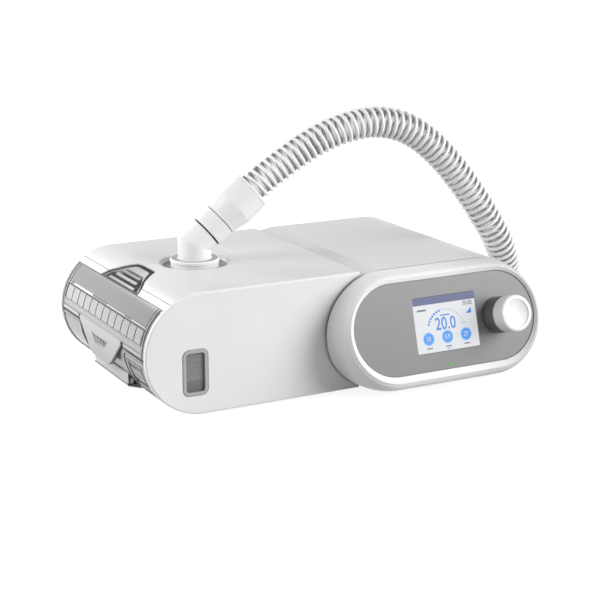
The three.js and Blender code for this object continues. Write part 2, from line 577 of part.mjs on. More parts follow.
// Lid clip: a flat tab with a sunk mark, hung on a pin in the lid
function buildClip() {
  const outline = new THREE.Shape();
  const top = hingeZ;
  outline.moveTo(midY - clip.topHalf, top);
  outline.lineTo(midY - clip.topHalf, axisZ);
  outline.lineTo(midY - clip.midHalf, axisZ - clip.midDrop);
  outline.quadraticCurveTo(midY - clip.lowHalf - clipRound, axisZ - clip.lowDrop, midY - clip.lowHalf,
    axisZ - clip.lowDrop);
  outline.lineTo(midY + clip.lowHalf, axisZ - clip.lowDrop);
  outline.quadraticCurveTo(midY + clip.lowHalf + clipRound, axisZ - clip.lowDrop, midY + clip.midHalf,
    axisZ - clip.midDrop);
  outline.lineTo(midY + clip.topHalf, axisZ);
  outline.lineTo(midY + clip.topHalf, top);
  outline.closePath();
  const outerX = -endRadius - clip.proud;
  const tab = sideways(outline, outerX, outerX + clip.thick);
  const round = prism(band(0, endRadius - lowerPanel.depth + gap, 90, 270), 0, bodyDepth, 24);
  const belowHinge = block(outerX, 0, 0, bodyDepth, footHeight, axisZ);
  const barrel = alongY(clipHinge.radius, midY - clip.topHalf, midY + clip.topHalf, hingeX, hingeZ, 12);
  const mark = new THREE.Shape();
  mark.moveTo(midY - clipMark.topHalf, axisZ - clipMark.top);
  mark.lineTo(midY - clipMark.lowHalf, axisZ - clipMark.bottom);
  mark.lineTo(midY + clipMark.lowHalf, axisZ - clipMark.bottom);
  mark.lineTo(midY + clipMark.topHalf, axisZ - clipMark.top);
  mark.closePath();
  const markCut = sideways(mark, outerX - overrun, outerX + clipMark.depth);
  const pinBore = alongY(clipHinge.pinRadius + gap, 0, bodyDepth, hingeX, hingeZ, 10);
  return cut(joined(cut(tab, round.intersect(belowHinge)), barrel), markCut, pinBore);
}
function buildClipPin() {
  const reach = clip.topHalf + clipHinge.side + clipHinge.lug - gap;
  return alongY(clipHinge.pinRadius, midY - reach, midY + reach, hingeX, hingeZ, 10);
}

// Main unit: one half shell, above or below the parting line
function buildHalfShell(upper) {
  const outer = prism(stadium(mainMidX, axisZ, mainWidth / 2, endRadius), shell.front, bodyDepth, 8, 0);
  const inner = prism(stadium(mainMidX, axisZ, mainWidth / 2 - shell.wall, endRadius - shell.wall),
    shell.front - overrun, bodyDepth + overrun, 8, 0);
  const low = upper ? axisZ + gap / 2 : footHeight - overrun;
  const high = upper ? topZ + overrun : axisZ - gap / 2;
  const half = block(0, mainRightX + endRadius + overrun, shell.front - overrun, bodyDepth + overrun,
    low, high);
  let body = cut(outer, inner);
  const ductHole = alongX(housing.ductRadius, mainLeftX - endRadius - overrun, mainLeftX - endRadius / 2,
    midY, axisZ + coupling.rise);
  for (const { x, y } of screwPlacesOnFloor()) {
    const post = disc(shell.post, footHeight + shell.wall / 2, topZ - shell.wall / 2, 10);
    body = joined(body, placed(post, at(x, y, 0)));
  }
  body = cut(body.intersect(half), ductHole);
  for (const { x, y } of screwPlacesOnFloor()) {
    const bore = disc(shell.screwRadius + gap, footHeight - overrun, axisZ + shell.screwReach + gap, 8);
    const head = disc(shell.headRadius + gap, footHeight - overrun, footHeight + shell.headDeep, 10);
    body = cut(body, placed(bore, at(x, y, 0)), placed(head, at(x, y, 0)));
  }
  const feetWells = [foot.inset, bodyDepth - foot.inset].map((y) =>
    placed(disc(foot.radius + gap, 0, footHeight + foot.sink + gap, 16), at(foot.rightX, y, 0)));
  return upper ? body : cut(body, ...feetWells);
}

// Case screws stand near the ends of the flat floor
function screwPlacesOnFloor() {
  return screwShares.map((share) => ({
    x: mainLeftX + (mainRightX - mainLeftX) * share.x,
    y: bodyDepth * share.y,
  }));
}
function buildScrew(x, y) {
  const headTop = footHeight + shell.headDeep;
  const body = turned([[0, headTop - shell.headRadius], [shell.headRadius, headTop - shell.headRadius],
    [shell.headRadius, headTop - gap], [shell.screwRadius, headTop - gap],
    [shell.screwRadius, axisZ + shell.screwReach], [0, axisZ + shell.screwReach]], 10);
  return placed(body, at(x, y, 0));
}

// Rear panel, set into the shells
const panelY = bodyDepth - rear.sink;
function buildRearPanel() {
  const grow = shell.wall + gap;
  const body = prism(stadium(mainMidX, axisZ, mainWidth / 2 - grow, endRadius - grow),
    panelY - rear.thick, panelY);
  const f = filterBox(0);
  const tray = prism(roundedBox(f.x0 - filterTray.wall, f.x1 + filterTray.wall, f.z0 - filterTray.wall,
    f.z1 + filterTray.wall, filter.corner),
    panelY - filterTray.depth, panelY - rear.thick / 2, 3);
  const well = prism(roundedBox(f.x0, f.x1, f.z0, f.z1, filter.corner),
    panelY - filterTray.depth + filterTray.wall, panelY + overrun, 3);
  const breath = prism(roundedBox(f.x0 + filterTray.wall, f.x1 - filterTray.wall, f.z0 + filterTray.wall,
    f.z1 - filterTray.wall, filter.corner),
    panelY - filterTray.depth - overrun, panelY, 3);
  const p = powerInlet;
  const inletHole = block(p.x - p.width / 2 - gap, p.x + p.width / 2 + gap, panelY - rear.thick - overrun,
    panelY + overrun,
    axisZ + p.z - p.height / 2 - gap, axisZ + p.z + p.height / 2 + gap);
  return cut(joined(body, tray), well, breath, inletHole);
}
function filterBox(shrink) {
  return {
    x0: filter.x - filter.width / 2 + shrink, x1: filter.x + filter.width / 2 - shrink,
    z0: axisZ + filter.z - filter.height / 2 + shrink, z1: axisZ + filter.z + filter.height / 2 - shrink,
  };
}
const padBack = panelY - filterTray.depth + filterTray.wall + gap;
function buildFilterPad() {
  const f = filterBox(gap);
  return prism(roundedBox(f.x0, f.x1, f.z0, f.z1, filter.corner), padBack, padBack + filter.padThick, 3);
}

// Filter cover: a slotted cap that pushes into the tray
function buildFilterCover() {
  const f = filterBox(gap);
  const body = prism(roundedBox(f.x0, f.x1, f.z0, f.z1, filter.corner), panelY - filter.coverThick + gap,
    panelY + gap, 3);
  const tools = [];
  const span = f.x1 - f.x0 - 2 * filter.corner;
  for (let i = 0; i < filter.slots; i += 1) {
    const x = f.x0 + filter.corner + span * i / (filter.slots - 1);
    tools.push(block(x - filter.slot / 2, x + filter.slot / 2, panelY - filter.coverThick - overrun,
      panelY + overrun,
      f.z0 + filter.corner, f.z1 - filter.corner));
  }
  return cut(body, ...tools);
}
function buildPowerInlet() {
  const p = powerInlet;
  const z = axisZ + p.z;
  const body = block(p.x - p.width / 2, p.x + p.width / 2, panelY - p.depth, panelY, z - p.height / 2,
    z + p.height / 2);
  const hole = alongY(p.hole, panelY - p.depth + overrun, panelY + overrun, p.x, z, 20);
  const pin = alongY(p.pin, panelY - p.depth + overrun / 2, panelY - p.pinSink, p.x, z, 10);
  return joined(cut(body, hole), pin);
}

// Blower: a drum with an outlet pipe, a cover with an eye, an impeller and its motor
const drumLow = axisZ + blower.low;
function buildBlowerHousing() {
  const b = blower;
  const drum = placed(turned([[motor.radius / 2, drumLow], [b.radius, drumLow],
    [b.radius, drumLow + b.height],
    [b.radius - b.wall, drumLow + b.height], [b.radius - b.wall, drumLow + b.wall],
      [motor.radius / 2, drumLow + b.wall],
    [motor.radius / 2, drumLow]], 28), at(b.x, b.y, 0));
  const outer = alongX(b.pipeRadius, mainLeftX - endRadius + shell.wall, b.x - b.radius + b.wall, midY,
    axisZ + coupling.rise);
  const core = placed(disc(b.radius - b.wall, drumLow + b.wall, drumLow + b.height + overrun, 28),
    at(b.x, b.y, 0));
  const bore = alongX(b.pipeRadius - b.pipeWall, mainLeftX - endRadius, b.x - b.radius + b.wall + overrun,
    midY, axisZ + coupling.rise);
  return cut(joined(drum, outer), core, bore);
}
function buildBlowerCover() {
  const b = blower;
  const low = drumLow + b.height + gap;
  return placed(pipe(b.eye, b.radius, low, low + b.wall, 28), at(b.x, b.y, 0));
}
function buildImpeller() {
  const low = drumLow + blower.wall + impeller.clear;
  let body = disc(impeller.radius, low, low + impeller.disc, 32);
  body = joined(body, disc(impeller.hub, low, low + impeller.bladeHeight, 20));
  body = joined(body, disc(impeller.shaft, drumLow - gap, low + impeller.disc, 12));
  for (let i = 0; i < impeller.blades; i += 1) {
    const blade = block(impeller.hub - impeller.disc, impeller.radius - impeller.disc,
      -impeller.bladeThick / 2, impeller.bladeThick / 2,
      low, low + impeller.bladeHeight);
    const sweep = new THREE.Matrix4().makeRotationZ(2 * Math.PI * i / impeller.blades);
    body = joined(body, placed(blade, sweep));
  }
  return placed(body, at(blower.x, blower.y, 0));
}
function buildMotor() {
  const top = drumLow - gap;
  const shaftBore = disc(impeller.shaft + gap, top - motor.height / 2, top + overrun, 12);
  const body = turned([[0, top - motor.height], [motor.radius - overrun, top - motor.height],
    [motor.radius, top - motor.height + overrun], [motor.radius, top], [0, top]], 32);
  return placed(cut(body, shaftBore), at(blower.x, blower.y, 0));
}
function buildCoupling() {
  const z = axisZ + coupling.rise;
  return tubeAlongX(coupling.bore, housing.ductRadius - gap, tank.right + gap,
    mainLeftX - endRadius + shell.wall - gap, midY, z);
}

// Foam block between the blower and the round side of the shells, wedged into that side
function buildFoam() {
  const f = foam;
  const right = mainRightX + Math.sqrt((endRadius - shell.wall - gap) ** 2 - (f.height / 2) ** 2);
  return block(blower.x + blower.radius + f.clear, right, f.y - f.depth / 2, f.y + f.depth / 2,
    axisZ - f.height / 2, axisZ + f.height / 2);
}

// Main board with a few parts on it, standing on the floor of the lower shell
function buildBoard() {
  const b = board;
  const low = footHeight + shell.wall + b.rise;
  let body = block(boardLeft, boardRight, b.y - b.depth / 2, b.y + b.depth / 2, low, low + b.thick);
  const chip = block(boardX - b.chip / 2, boardX + b.chip / 2, b.y - b.chip / 2, b.y + b.chip / 2,
    low + b.thick / 2, low + b.thick + b.chipThick);
  body = joined(body, chip);
  for (const share of boardCanShares) {
    body = joined(body, placed(disc(b.can, low + b.thick / 2, low + b.thick + b.canHeight, 16),
      at(boardX + boardWidth * share, b.y, 0)));
  }
  for (const shareX of boardLegShares.x) {
    for (const shareY of boardLegShares.y) {
      const leg = disc(b.can / 2, footHeight + shell.wall + gap, low + b.thick / 2, 10);
      body = joined(body, placed(leg, at(boardX + boardWidth * shareX, b.y + b.depth * shareY, 0)));
    }
  }
  return body;
}

// Console frame of reference: x to the right, y up the face, z out of the face
const faceBasis = new THREE.Matrix4().makeBasis(
  new THREE.Vector3(1, 0, 0), new THREE.Vector3(0, Math.sin(tilt), Math.cos(tilt)),
  new THREE.Vector3(0, -Math.cos(tilt), Math.sin(tilt))).setPosition(mainMidX, -consoleSize.reach, axisZ);
function onFace(body) {
  return placed(body, faceBasis);
}

// One ring of a stadium outline, as points in its own plane
function stadiumRing(halfWidth, halfHeight, centre, segments = 12) {
  const run = halfWidth - halfHeight;
  const points = [];
  for (const side of [1, -1]) {
    for (let i = 0; i <= segments; i += 1) {
      const angle = (-90 + 180 * i / segments) * deg;
      points.push(new THREE.Vector2(side * (run + halfHeight * Math.cos(angle)),
        centre + side * halfHeight * Math.sin(angle)));
    }
  }
  return points;
}

// A closed skin through a loop of rings that all have the same number of points
function skinOfRings(rings) {
  const count = rings[0].length;
  const positions = rings.flat().flatMap((p) => [p.x, p.y, p.z]);
  const index = [];
  for (let r = 0; r < rings.length; r += 1) {
    const next = (r + 1) % rings.length;
    for (let i = 0; i < count; i += 1) {
      const j = (i + 1) % count;
      index.push(r * count + i, r * count + j, next * count + j, r * count + i, next * count + j,
        next * count + i);
    }
  }
  const geometry = new THREE.BufferGeometry();
  geometry.setAttribute('position', new THREE.Float32BufferAttribute(positions, 3));
  geometry.setIndex(index);
  return geometry;
}

// Bezel: a hollow loft from the main unit's upright outline to the leaning ring round the plate
function buildBezel() {
  const backY = shell.front - gap;
  const c = consoleSize;
  const back = (inset) => stadiumRing(mainWidth / 2 - inset, endRadius - inset, 0)
    .map((p) => new THREE.Vector3(mainMidX + p.x, backY, axisZ + p.y));
  const face = (halfWidth, halfHeight, centre, lift) => stadiumRing(halfWidth, halfHeight, centre)
    .map((p) => new THREE.Vector3(p.x, p.y, lift).applyMatrix4(faceBasis));
  const front = face(c.ringHalfWidth, c.ringHalfHeight, c.ringCentre, 0);
  const backRing = back(0);
  const between = (from, to, angle) => from.map((p, i) => new THREE.Vector3(
    p.x + (to[i].x - p.x) * (1 - Math.cos(angle)), p.y + (to[i].y - p.y) * Math.sin(angle),
    p.z + (to[i].z - p.z) * (1 - Math.cos(angle))));
  const rings = [];
  for (let i = 0; i <= c.steps; i += 1) rings.push(between(backRing, front, Math.PI / 2 * i / c.steps));
  rings.push(face(c.ringHalfWidth - ring.width / 2, c.ringHalfHeight - ring.width / 2, c.ringCentre,
    ring.crown));
  rings.push(face(plate.halfWidth + gap, plate.halfHeight + gap, plate.centre, 0));
  rings.push(face(plate.halfWidth + gap, plate.halfHeight + gap, plate.centre,
    -ring.plateSink - plate.thick - gap));
  rings.push(face(plate.halfWidth - ring.seat, plate.halfHeight - ring.seat, plate.centre,
    -ring.plateSink - plate.thick - gap));
  const lip = face(plate.halfWidth - ring.seat, plate.halfHeight - ring.seat, plate.centre,
    -ring.plateSink - plate.thick - c.wall);
  rings.push(lip);
  const innerBack = back(c.wall);
  const innerFront = face(c.ringHalfWidth - c.wall, c.ringHalfHeight - c.wall, c.ringCentre,
    -ring.plateSink - plate.thick - c.wall);
  for (let i = c.steps - 1; i >= 0; i -= 2) rings.push(between(innerBack, innerFront,
    Math.PI / 2 * i / c.steps));
  rings.push(innerBack);
  const skin = skinOfRings(rings);
  return solid(skin);
}

// Face plate with openings for the screen, the knob's bush and the light
function buildFacePlate() {
  const high = -ring.plateSink;
  const body = slab(stadium(0, plate.centre, plate.halfWidth, plate.halfHeight), high - plate.thick, high, 8);
  const opening = slab(screenOutline(gap), high - plate.thick - overrun, high + overrun, 1);
  const bush = placed(disc(encoder.bush + gap, high - plate.thick - overrun, high + overrun, 24),
    at(knobX, knob.up, 0));
  const lamp = placed(disc(light.radius + gap, high - plate.thick - overrun, high + overrun, 16),
    at(0, lightUp, 0));
  return onFace(cut(body, opening, bush, lamp));
}
function screenOutline(grow) {
  return roundedBox(-screen.width / 2 - grow, screen.width / 2 + grow,
    screen.centre - screenHeight / 2 - grow,
    screen.centre + screenHeight / 2 + grow, screen.corner);
}
function buildScreenLens() {
  const high = -ring.plateSink - screen.sink;
  return onFace(slab(screenOutline(0), high - screen.thick, high, 1));
}
const moduleTop = -ring.plateSink - plate.thick - gap;
function buildDisplay() {
  const d = display;
  return onFace(block(-d.width / 2, d.width / 2, screen.centre - displayHeight / 2,
    screen.centre + displayHeight / 2, moduleTop - d.thick, moduleTop));
}
function buildDisplayBoard() {
  const d = display;
  const top = moduleTop - d.thick - gap;
  const grow = d.boardGrow;
  return onFace(block(-d.width / 2 - grow, d.width / 2 + grow, screen.centre - displayHeight / 2 - grow,
    screen.centre + displayHeight / 2 + grow, top - d.boardThick, top));
}

// Knob: a fixed collar, a cap that turns and presses, its shaft, and the encoder behind the plate
const capLow = knob.collarHeight + knobPress.travel + gap;
function buildKnob() {
  const k = knob;
  const low = -ring.plateSink + gap;
  const onKnob = (body) => onFace(placed(body, at(knobX, k.up, 0)));
  const collarBody = turned([[encoder.bush + gap, low], [k.radius, low], [k.radius, k.collarHeight - k.rim],
    [k.radius - k.rim / 2, k.collarHeight], [encoder.bush + gap, k.collarHeight],
      [encoder.bush + gap, low]], 28);
  place('knob_collar', onKnob(collarBody), plastic(darkGrey));
  const capTop = capLow + k.capHeight - knobPress.travel - gap;
  const cap = turned([[0, capTop - k.wall - k.dish], [knobPress.shaft + gap, capTop - k.wall - k.dish],
    [knobPress.shaft + gap, capLow + k.wall], [k.radius - k.wall, capLow + k.wall],
      [k.radius - k.wall, capLow],
    [k.radius, capLow], [k.radius, capTop - k.rim], [k.radius - k.rim / 2, capTop - k.rim / 4],
      [k.radius - k.rim, capTop],
    [k.radius - 2 * k.rim, capTop], [k.radius - 3 * k.rim, capTop - k.dish], [0, capTop - k.dish]], 28);
  place('knob_cap', onKnob(cap), plastic(0xefefef));
  const shaftBody = disc(knobPress.shaft, moduleTop - encoder.thick + knobPress.plungerThick,
    capTop - k.wall - k.dish - gap, 16);
  place('knob_shaft', onKnob(shaftBody), metal(steel));
  const bush = pipe(knobPress.bore, encoder.bush, moduleTop, low + encoder.bushHigh, 20);
  const caseBody = block(-encoder.half, encoder.half, -encoder.half, encoder.half,
    moduleTop - encoder.thick, moduleTop);
  const shaftRoom = disc(knobPress.bore, moduleTop - encoder.thick - overrun, moduleTop + overrun, 16);
  const plungerRoom = disc(knobPress.plunger + gap, moduleTop - encoder.thick - overrun,
    moduleTop - encoder.thick + knobPress.plungerThick, 16);
  place('encoder', onKnob(cut(joined(caseBody, bush), shaftRoom, plungerRoom)), metal(0x9b9d9f));
  const plungerTop = moduleTop - encoder.thick + knobPress.plungerThick - gap;
  place('encoder_plunger', onKnob(disc(knobPress.plunger, plungerTop - knobPress.plungerThick, plungerTop,
    16)), plastic(0x2c2c2c));
}

// Light pipe under the screen
function buildLight() {
  const high = -ring.plateSink;
  const body = turned([[0, moduleTop - light.length], [light.flange, moduleTop - light.length],
    [light.flange, moduleTop],
    [light.radius, moduleTop], [light.radius, high], [0, high]], 16);
  return onFace(placed(body, at(0, lightUp, 0)));
}

// Feet in their wells
function buildFoot(x, y) {
  const body = turned([[0, 0], [foot.radius - foot.sink, 0], [foot.radius, foot.sink],
    [foot.radius, footHeight + foot.sink],
    [0, footHeight + foot.sink]], 14);
  return placed(body, at(x, y, 0));
}

// Direction of the elbow's leg, and the frame with z along it at the mitre
const legDirection = new THREE.Vector3(
  Math.cos(elbow.climb * deg) * Math.cos(elbow.azimuth * deg),
  Math.cos(elbow.climb * deg) * Math.sin(elbow.azimuth * deg), Math.sin(elbow.climb * deg));
const mitre = new THREE.Vector3(outlet.x, outlet.y, topZ + elbow.mitreRise);
function frameAlong(direction, origin) {
  const side = new THREE.Vector3(-direction.y, direction.x, 0).normalize();
  const third = new THREE.Vector3().crossVectors(direction, side);
  return new THREE.Matrix4().makeBasis(side, third, direction).setPosition(origin.x, origin.y, origin.z);
}
const legFrame = frameAlong(legDirection, mitre);
const uprightFrame = new THREE.Matrix4().makeBasis(
  new THREE.Vector3(-legDirection.y, legDirection.x, 0).normalize(),
  new THREE.Vector3(-legDirection.x, -legDirection.y, 0).normalize(),
    new THREE.Vector3(0, 0, 1)).setPosition(mitre.x, mitre.y, mitre.z);

// Elbow: a swivel collar and a mitred pipe with a bore all through
function buildElbow() {
  const low = topZ - outlet.dishDepth + gap;
  const collarTop = low + collar.height;
  const ringBody = turned([[0, low], [collar.radius, low], [collar.radius, collarTop - collar.lipHeight],
    [collar.radius + collar.lip, collarTop - collar.lipHeight],
      [collar.radius + collar.lip, collarTop - collar.lip],
    [collar.radius, collarTop], [0, collarTop]], 28);
  const upright = disc(elbow.radius, collarTop - collar.lip - mitre.z, elbow.radius, 24);
  const leg = disc(elbow.radius, -elbow.radius, elbow.leg, 24);
  const mitreNormal = new THREE.Vector3(0, 0, 1).add(legDirection).normalize();
  const overlap = gap / 4;
  const half = (side) => placed(
    block(-bodyHeight, bodyHeight, -bodyHeight, bodyHeight, side < 0 ? -bodyHeight : -overlap,
      side < 0 ? overlap : bodyHeight),
    frameAlong(mitreNormal, mitre));
  const uprightPart = placed(upright, uprightFrame).intersect(half(-1));
  const legPart = placed(leg, legFrame).intersect(half(1));
  const spigot = placed(disc(elbow.spigotRadius, elbow.leg - overrun, elbow.leg + elbow.spigot, 24),
    legFrame);
  const boreUp = placed(disc(elbow.bore, low - overrun - mitre.z, elbow.radius, 16),
    uprightFrame).intersect(half(-1));
  const boreLeg = placed(disc(elbow.bore, -elbow.radius, elbow.leg + elbow.spigot + overrun, 16),
    legFrame).intersect(half(1));
  return cut(joined(placed(ringBody, at(outlet.x, outlet.y, 0)), uprightPart, legPart, spigot),
    joined(boreUp, boreLeg));
}
function buildSleeve() {
  const s = sleeve;
  const low = elbow.leg + gap;
  const inner = elbow.spigotRadius + gap;
  return placed(turned([[inner, low], [s.start, low], [s.end, low + s.length], [inner, low + s.length],
    [inner, low]], 24), legFrame);
}
const cuffLow = elbow.leg + sleeve.length + 2 * gap;
function buildCuff() {
  const c = cuff;
  const socketFloor = cuffLow + c.length - c.socket;
  return placed(turned([[c.bore, cuffLow], [c.neck, cuffLow], [c.wide, cuffLow + c.cone],
    [c.end, cuffLow + c.length - gap],
    [c.end - gap, cuffLow + c.length], [hose.radius + gap, cuffLow + c.length],
      [hose.radius + gap, socketFloor], [c.bore, socketFloor],
    [c.bore, cuffLow]], 28), legFrame);
}

// Hose: points at even steps along the free stretch and along the coil
const lieZ = hose.radius + hose.lift;
const joinY = coil.y - 2 * hose.radius;
function hoseFreePoints() {
  const socketFloor = cuffLow + cuff.length - cuff.socket + gap;
  const start = mitre.clone().addScaledVector(legDirection, socketFloor);
  const mouth = mitre.clone().addScaledVector(legDirection, cuffLow + cuff.length + hose.radius);
  const route = hoseRoute.map(([x, y, z]) => new THREE.Vector3(x, y, z));
  const straight = new THREE.Vector3(coil.rightX, joinY - 2 * hose.radius, lieZ);
  const end = new THREE.Vector3(coil.rightX, joinY, lieZ);
  const curve = new THREE.CatmullRomCurve3([mouth, ...route, straight], false, 'centripetal');
  const steps = Math.round(curve.getLength() / hose.step);
  return [start, ...curve.getSpacedPoints(steps), straight.clone().lerp(end, 0.5), end];
}
const coilX = coil.rightX - coil.startRadius;
function smooth(t) {
  const clamped = Math.min(1, Math.max(0, t));
  return clamped * clamped * (3 - 2 * clamped);
}
function coilPoint(angle) {
  const radius = coil.startRadius - coil.pitch * angle / 360;
  const rise = coilForm.climb * smooth((angle - coil.climbFrom) / (coil.climbTo - coil.climbFrom));
  const z = lieZ + rise;
  return new THREE.Vector3(coilX + radius * Math.cos(angle * deg),
    coil.y + radius * Math.sin(angle * deg), z);
}
function hoseCoilPoints() {
  const points = [];
  const steps = Math.round(coilForm.pointsPerTurn * coil.sweep / 360);
  for (let i = 0; i <= steps; i += 1) points.push(coilPoint(coil.sweep * i / steps));
  const lead = new THREE.Vector3(coil.rightX, joinY + gap, lieZ);
  const last = points[points.length - 1];
  const heading = new THREE.Vector3().subVectors(last, points[points.length - 2]).setZ(0).normalize();
  points.push(last.clone().addScaledVector(heading, hose.radius),
    last.clone().addScaledVector(heading, 2 * hose.radius));
  return [lead, lead.clone().lerp(points[0], 0.5), ...points];
}

// Rings across a path of points, with a frame that doesn't twist
function pathRings(points) {
  const lengths = [0];
  for (let i = 1; i < points.length; i += 1) {
    lengths.push(lengths[i - 1] + points[i].distanceTo(points[i - 1]));
  }
  const total = lengths[lengths.length - 1];
  const tangentAt = points.map((p, i) => new THREE.Vector3()
    .subVectors(points[Math.min(i + 1, points.length - 1)], points[Math.max(i - 1, 0)]).normalize());
  tangentAt[0] = new THREE.Vector3().subVectors(points[1], points[0]).normalize();
  const normals = [new THREE.Vector3(0, 0, 1).addScaledVector(tangentAt[0], -tangentAt[0].z).normalize()];
  for (let i = 1; i < points.length; i += 1) {
    const n = normals[i - 1].clone();
    normals.push(n.addScaledVector(tangentAt[i], -n.dot(tangentAt[i])).normalize());
  }
  const ringAt = (distance, radius) => {
    let i = 1;
    while (i < points.length - 1 && lengths[i] < distance) i += 1;
    const t = (distance - lengths[i - 1]) / (lengths[i] - lengths[i - 1]);
    const centre = points[i - 1].clone().lerp(points[i], t);
    const tangent = tangentAt[i - 1].clone().lerp(tangentAt[i], t).normalize();
    const normal = normals[i - 1].clone().lerp(normals[i], t);
    normal.addScaledVector(tangent, -normal.dot(tangent)).normalize();
    const side = new THREE.Vector3().crossVectors(tangent, normal);
    const around = [];
    for (let k = 0; k < hose.sides; k += 1) {
      const angle = 2 * Math.PI * k / hose.sides;
      around.push(centre.clone().addScaledVector(normal, radius * Math.cos(angle))
        .addScaledVector(side, radius * Math.sin(angle)));
    }
    return around;
  };
  return { total, ringAt };
}

// A ribbed tube with its bore: out along the ribs, then back along the bore
function ribbedTube(points, ribs, boreEvery) {
  const { total, ringAt } = pathRings(points);
  const pitch = total / ribs;
  const rings = [ringAt(0, hose.valley)];
  for (let i = 0; i < ribs; i += 1) {
    rings.push(ringAt((i + 0.5) * pitch, hose.radius));
    rings.push(ringAt(Math.min((i + 1) * pitch, total), hose.valley));
  }
  for (let i = ribs; i > 0; i -= boreEvery) rings.push(ringAt(Math.min(i * pitch, total), hose.bore));
  rings.push(ringAt(0, hose.bore));
  return solid(skinOfRings(rings));
}

// The least gap of the coil to itself, measured between points that lie over three diameters apart along it
function leastCoilGap(points) {
  const apart = 6 * hose.radius;
  const lengths = [0];
  for (let i = 1; i < points.length; i += 1) {
    lengths.push(lengths[i - 1] + points[i].distanceTo(points[i - 1]));
  }
  let least = Infinity;
  for (let i = 0; i < points.length; i += 1) {
    for (let j = i + 1; j < points.length; j += 1) {
      if (lengths[j] - lengths[i] > apart) {
        least = Math.min(least, points[i].distanceTo(points[j]) - 2 * hose.radius);
      }
    }
  }
  return least;
}
function lengthOf(points) {
  return points.slice(1).reduce((sum, p, i) => sum + p.distanceTo(points[i]), 0);
}
function buildHose() {
  const free = hoseFreePoints();
  const turns = hoseCoilPoints();
  const ribs = Math.round(lengthOf(free) / hose.ribPitch);
  place('hose_free', ribbedTube(free, ribs, hose.boreEvery), clear(0xdedede, 0.6));
  place('hose_coil', ribbedTube(turns, coilForm.ribs, coilForm.boreEvery), clear(0xdedede, 0.6));
  const freeText = `free stretch ${lengthOf(free).toFixed(1)} with ${ribs} ribs`;
  console.log(`${freeText}, coil ${lengthOf(turns).toFixed(1)} mm`);
  console.log(`least gap of the coil to itself ${leastCoilGap(turns).toFixed(2)} mm`);
  const end = turns[turns.length - 1];
  const heading = new THREE.Vector3().subVectors(end, turns[turns.length - 2]).normalize();
  const m = maskCuff;
  const body = turned([[m.throat, 0], [m.radius, 0], [m.radius, m.length], [m.bore, m.length],
    [m.bore, m.length - m.boreDeep],
    [m.throat, m.length - m.boreDeep], [m.throat, 0]], 24);
  const frame = frameAlong(heading, end.clone().addScaledVector(heading, gap));
  place('mask_cuff', placed(body, frame), plastic(0xe4e4e4));
  for (const name of ['hose_free', 'hose_coil', 'mask_cuff']) cordNames.add(name);
}

// Humidifier
place('humidifier_housing', buildHousing(), plastic(white));
place('humidifier_top_cover', buildTopCover(), plastic(topGrey));
buildOutlet();
buildLevelWindow();
buildHeater();
place('air_coupling', buildCoupling(), plastic(0x3c3c3c, 0.8));

// Water tank
place('tank_base', buildTankBase(), clear(smoke, 0.55));
place('tank_lid', buildTankLid(), clear(smoke, 0.55));
place('tank_grip', buildGrip(), clear(smoke, 0.55));
place('tank_seal', buildTankSeal(), plastic(0x55585b, 0.8));
place('tank_heat_plate', buildTankPlate(), metal(steel));
place('lid_clip', buildClip(), plastic(0xb4b6b8));
place('clip_pin', buildClipPin(), metal(steel));

// Main unit
place('main_upper_shell', buildHalfShell(true), plastic(topGrey));
place('main_lower_shell', buildHalfShell(false), plastic(topGrey));
screwPlacesOnFloor().forEach(({ x, y }, i) => place(`case_screw_${i + 1}`, buildScrew(x, y),
  metal(0x8a8c8e)));
place('rear_panel', buildRearPanel(), plastic(0xcfcfcf));
place('filter_pad', buildFilterPad(), plastic(0x6b6b6b, 0.9));
place('filter_cover', buildFilterCover(), plastic(0xc4c4c4));
place('power_inlet', buildPowerInlet(), plastic(0x222222));
place('blower_housing', buildBlowerHousing(), plastic(0xe0e0e0));
place('blower_cover', buildBlowerCover(), plastic(0xe0e0e0));
place('blower_impeller', buildImpeller(), plastic(0x9fb2c0));
place('blower_motor', buildMotor(), metal(0x77797b));
place('foam_silencer', buildFoam(), plastic(0x4a4a4a, 0.95));
place('main_board', buildBoard(), plastic(0x2f6b45));

// Console
place('console_bezel', buildBezel(), plastic(white));
place('face_plate', buildFacePlate(), plastic(plateGrey, 0.5));
place('screen_lens', buildScreenLens(), plastic(0xe8ecf4, 0.1));
place('display_module', buildDisplay(), plastic(0x2a2a2a));
place('display_board', buildDisplayBoard(), plastic(0x2f6b45));
buildKnob();
place('light_pipe', buildLight(), plastic(0x5fd03f, 0.2));

// Feet
[[foot.leftX, foot.inset], [foot.rightX, foot.inset], [foot.leftX, bodyDepth - foot.inset],
  [foot.rightX, bodyDepth - foot.inset]]
  .forEach(([x, y], i) => place(`foot_${i + 1}`, buildFoot(x, y), plastic(0x333333, 0.9)));

// Elbow and hose
place('elbow', buildElbow(), plastic(0xf0f0f0));
place('elbow_sleeve', buildSleeve(), plastic(0xececec));
place('hose_cuff', buildCuff(), plastic(0xf0f0f0));
buildHose();

// The machine without its hose stands centred on the origin
const box = new THREE.Box3();
for (const mesh of machine.children) {
  if (!cordNames.has(mesh.name)) box.expandByObject(mesh);
}
const middle = box.getCenter(new THREE.Vector3());
machine.position.set(-middle.x, -middle.y, -box.min.z);
console.log('origin shift', machine.position.toArray().map((v) => v.toFixed(3)).join(' '));

const part = new THREE.Group();
part.add(machine);
export default part;
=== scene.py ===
"""A CPAP machine with a humidifier tank, a tilted console and a ribbed hose, dressed around its CAD frame."""
import math

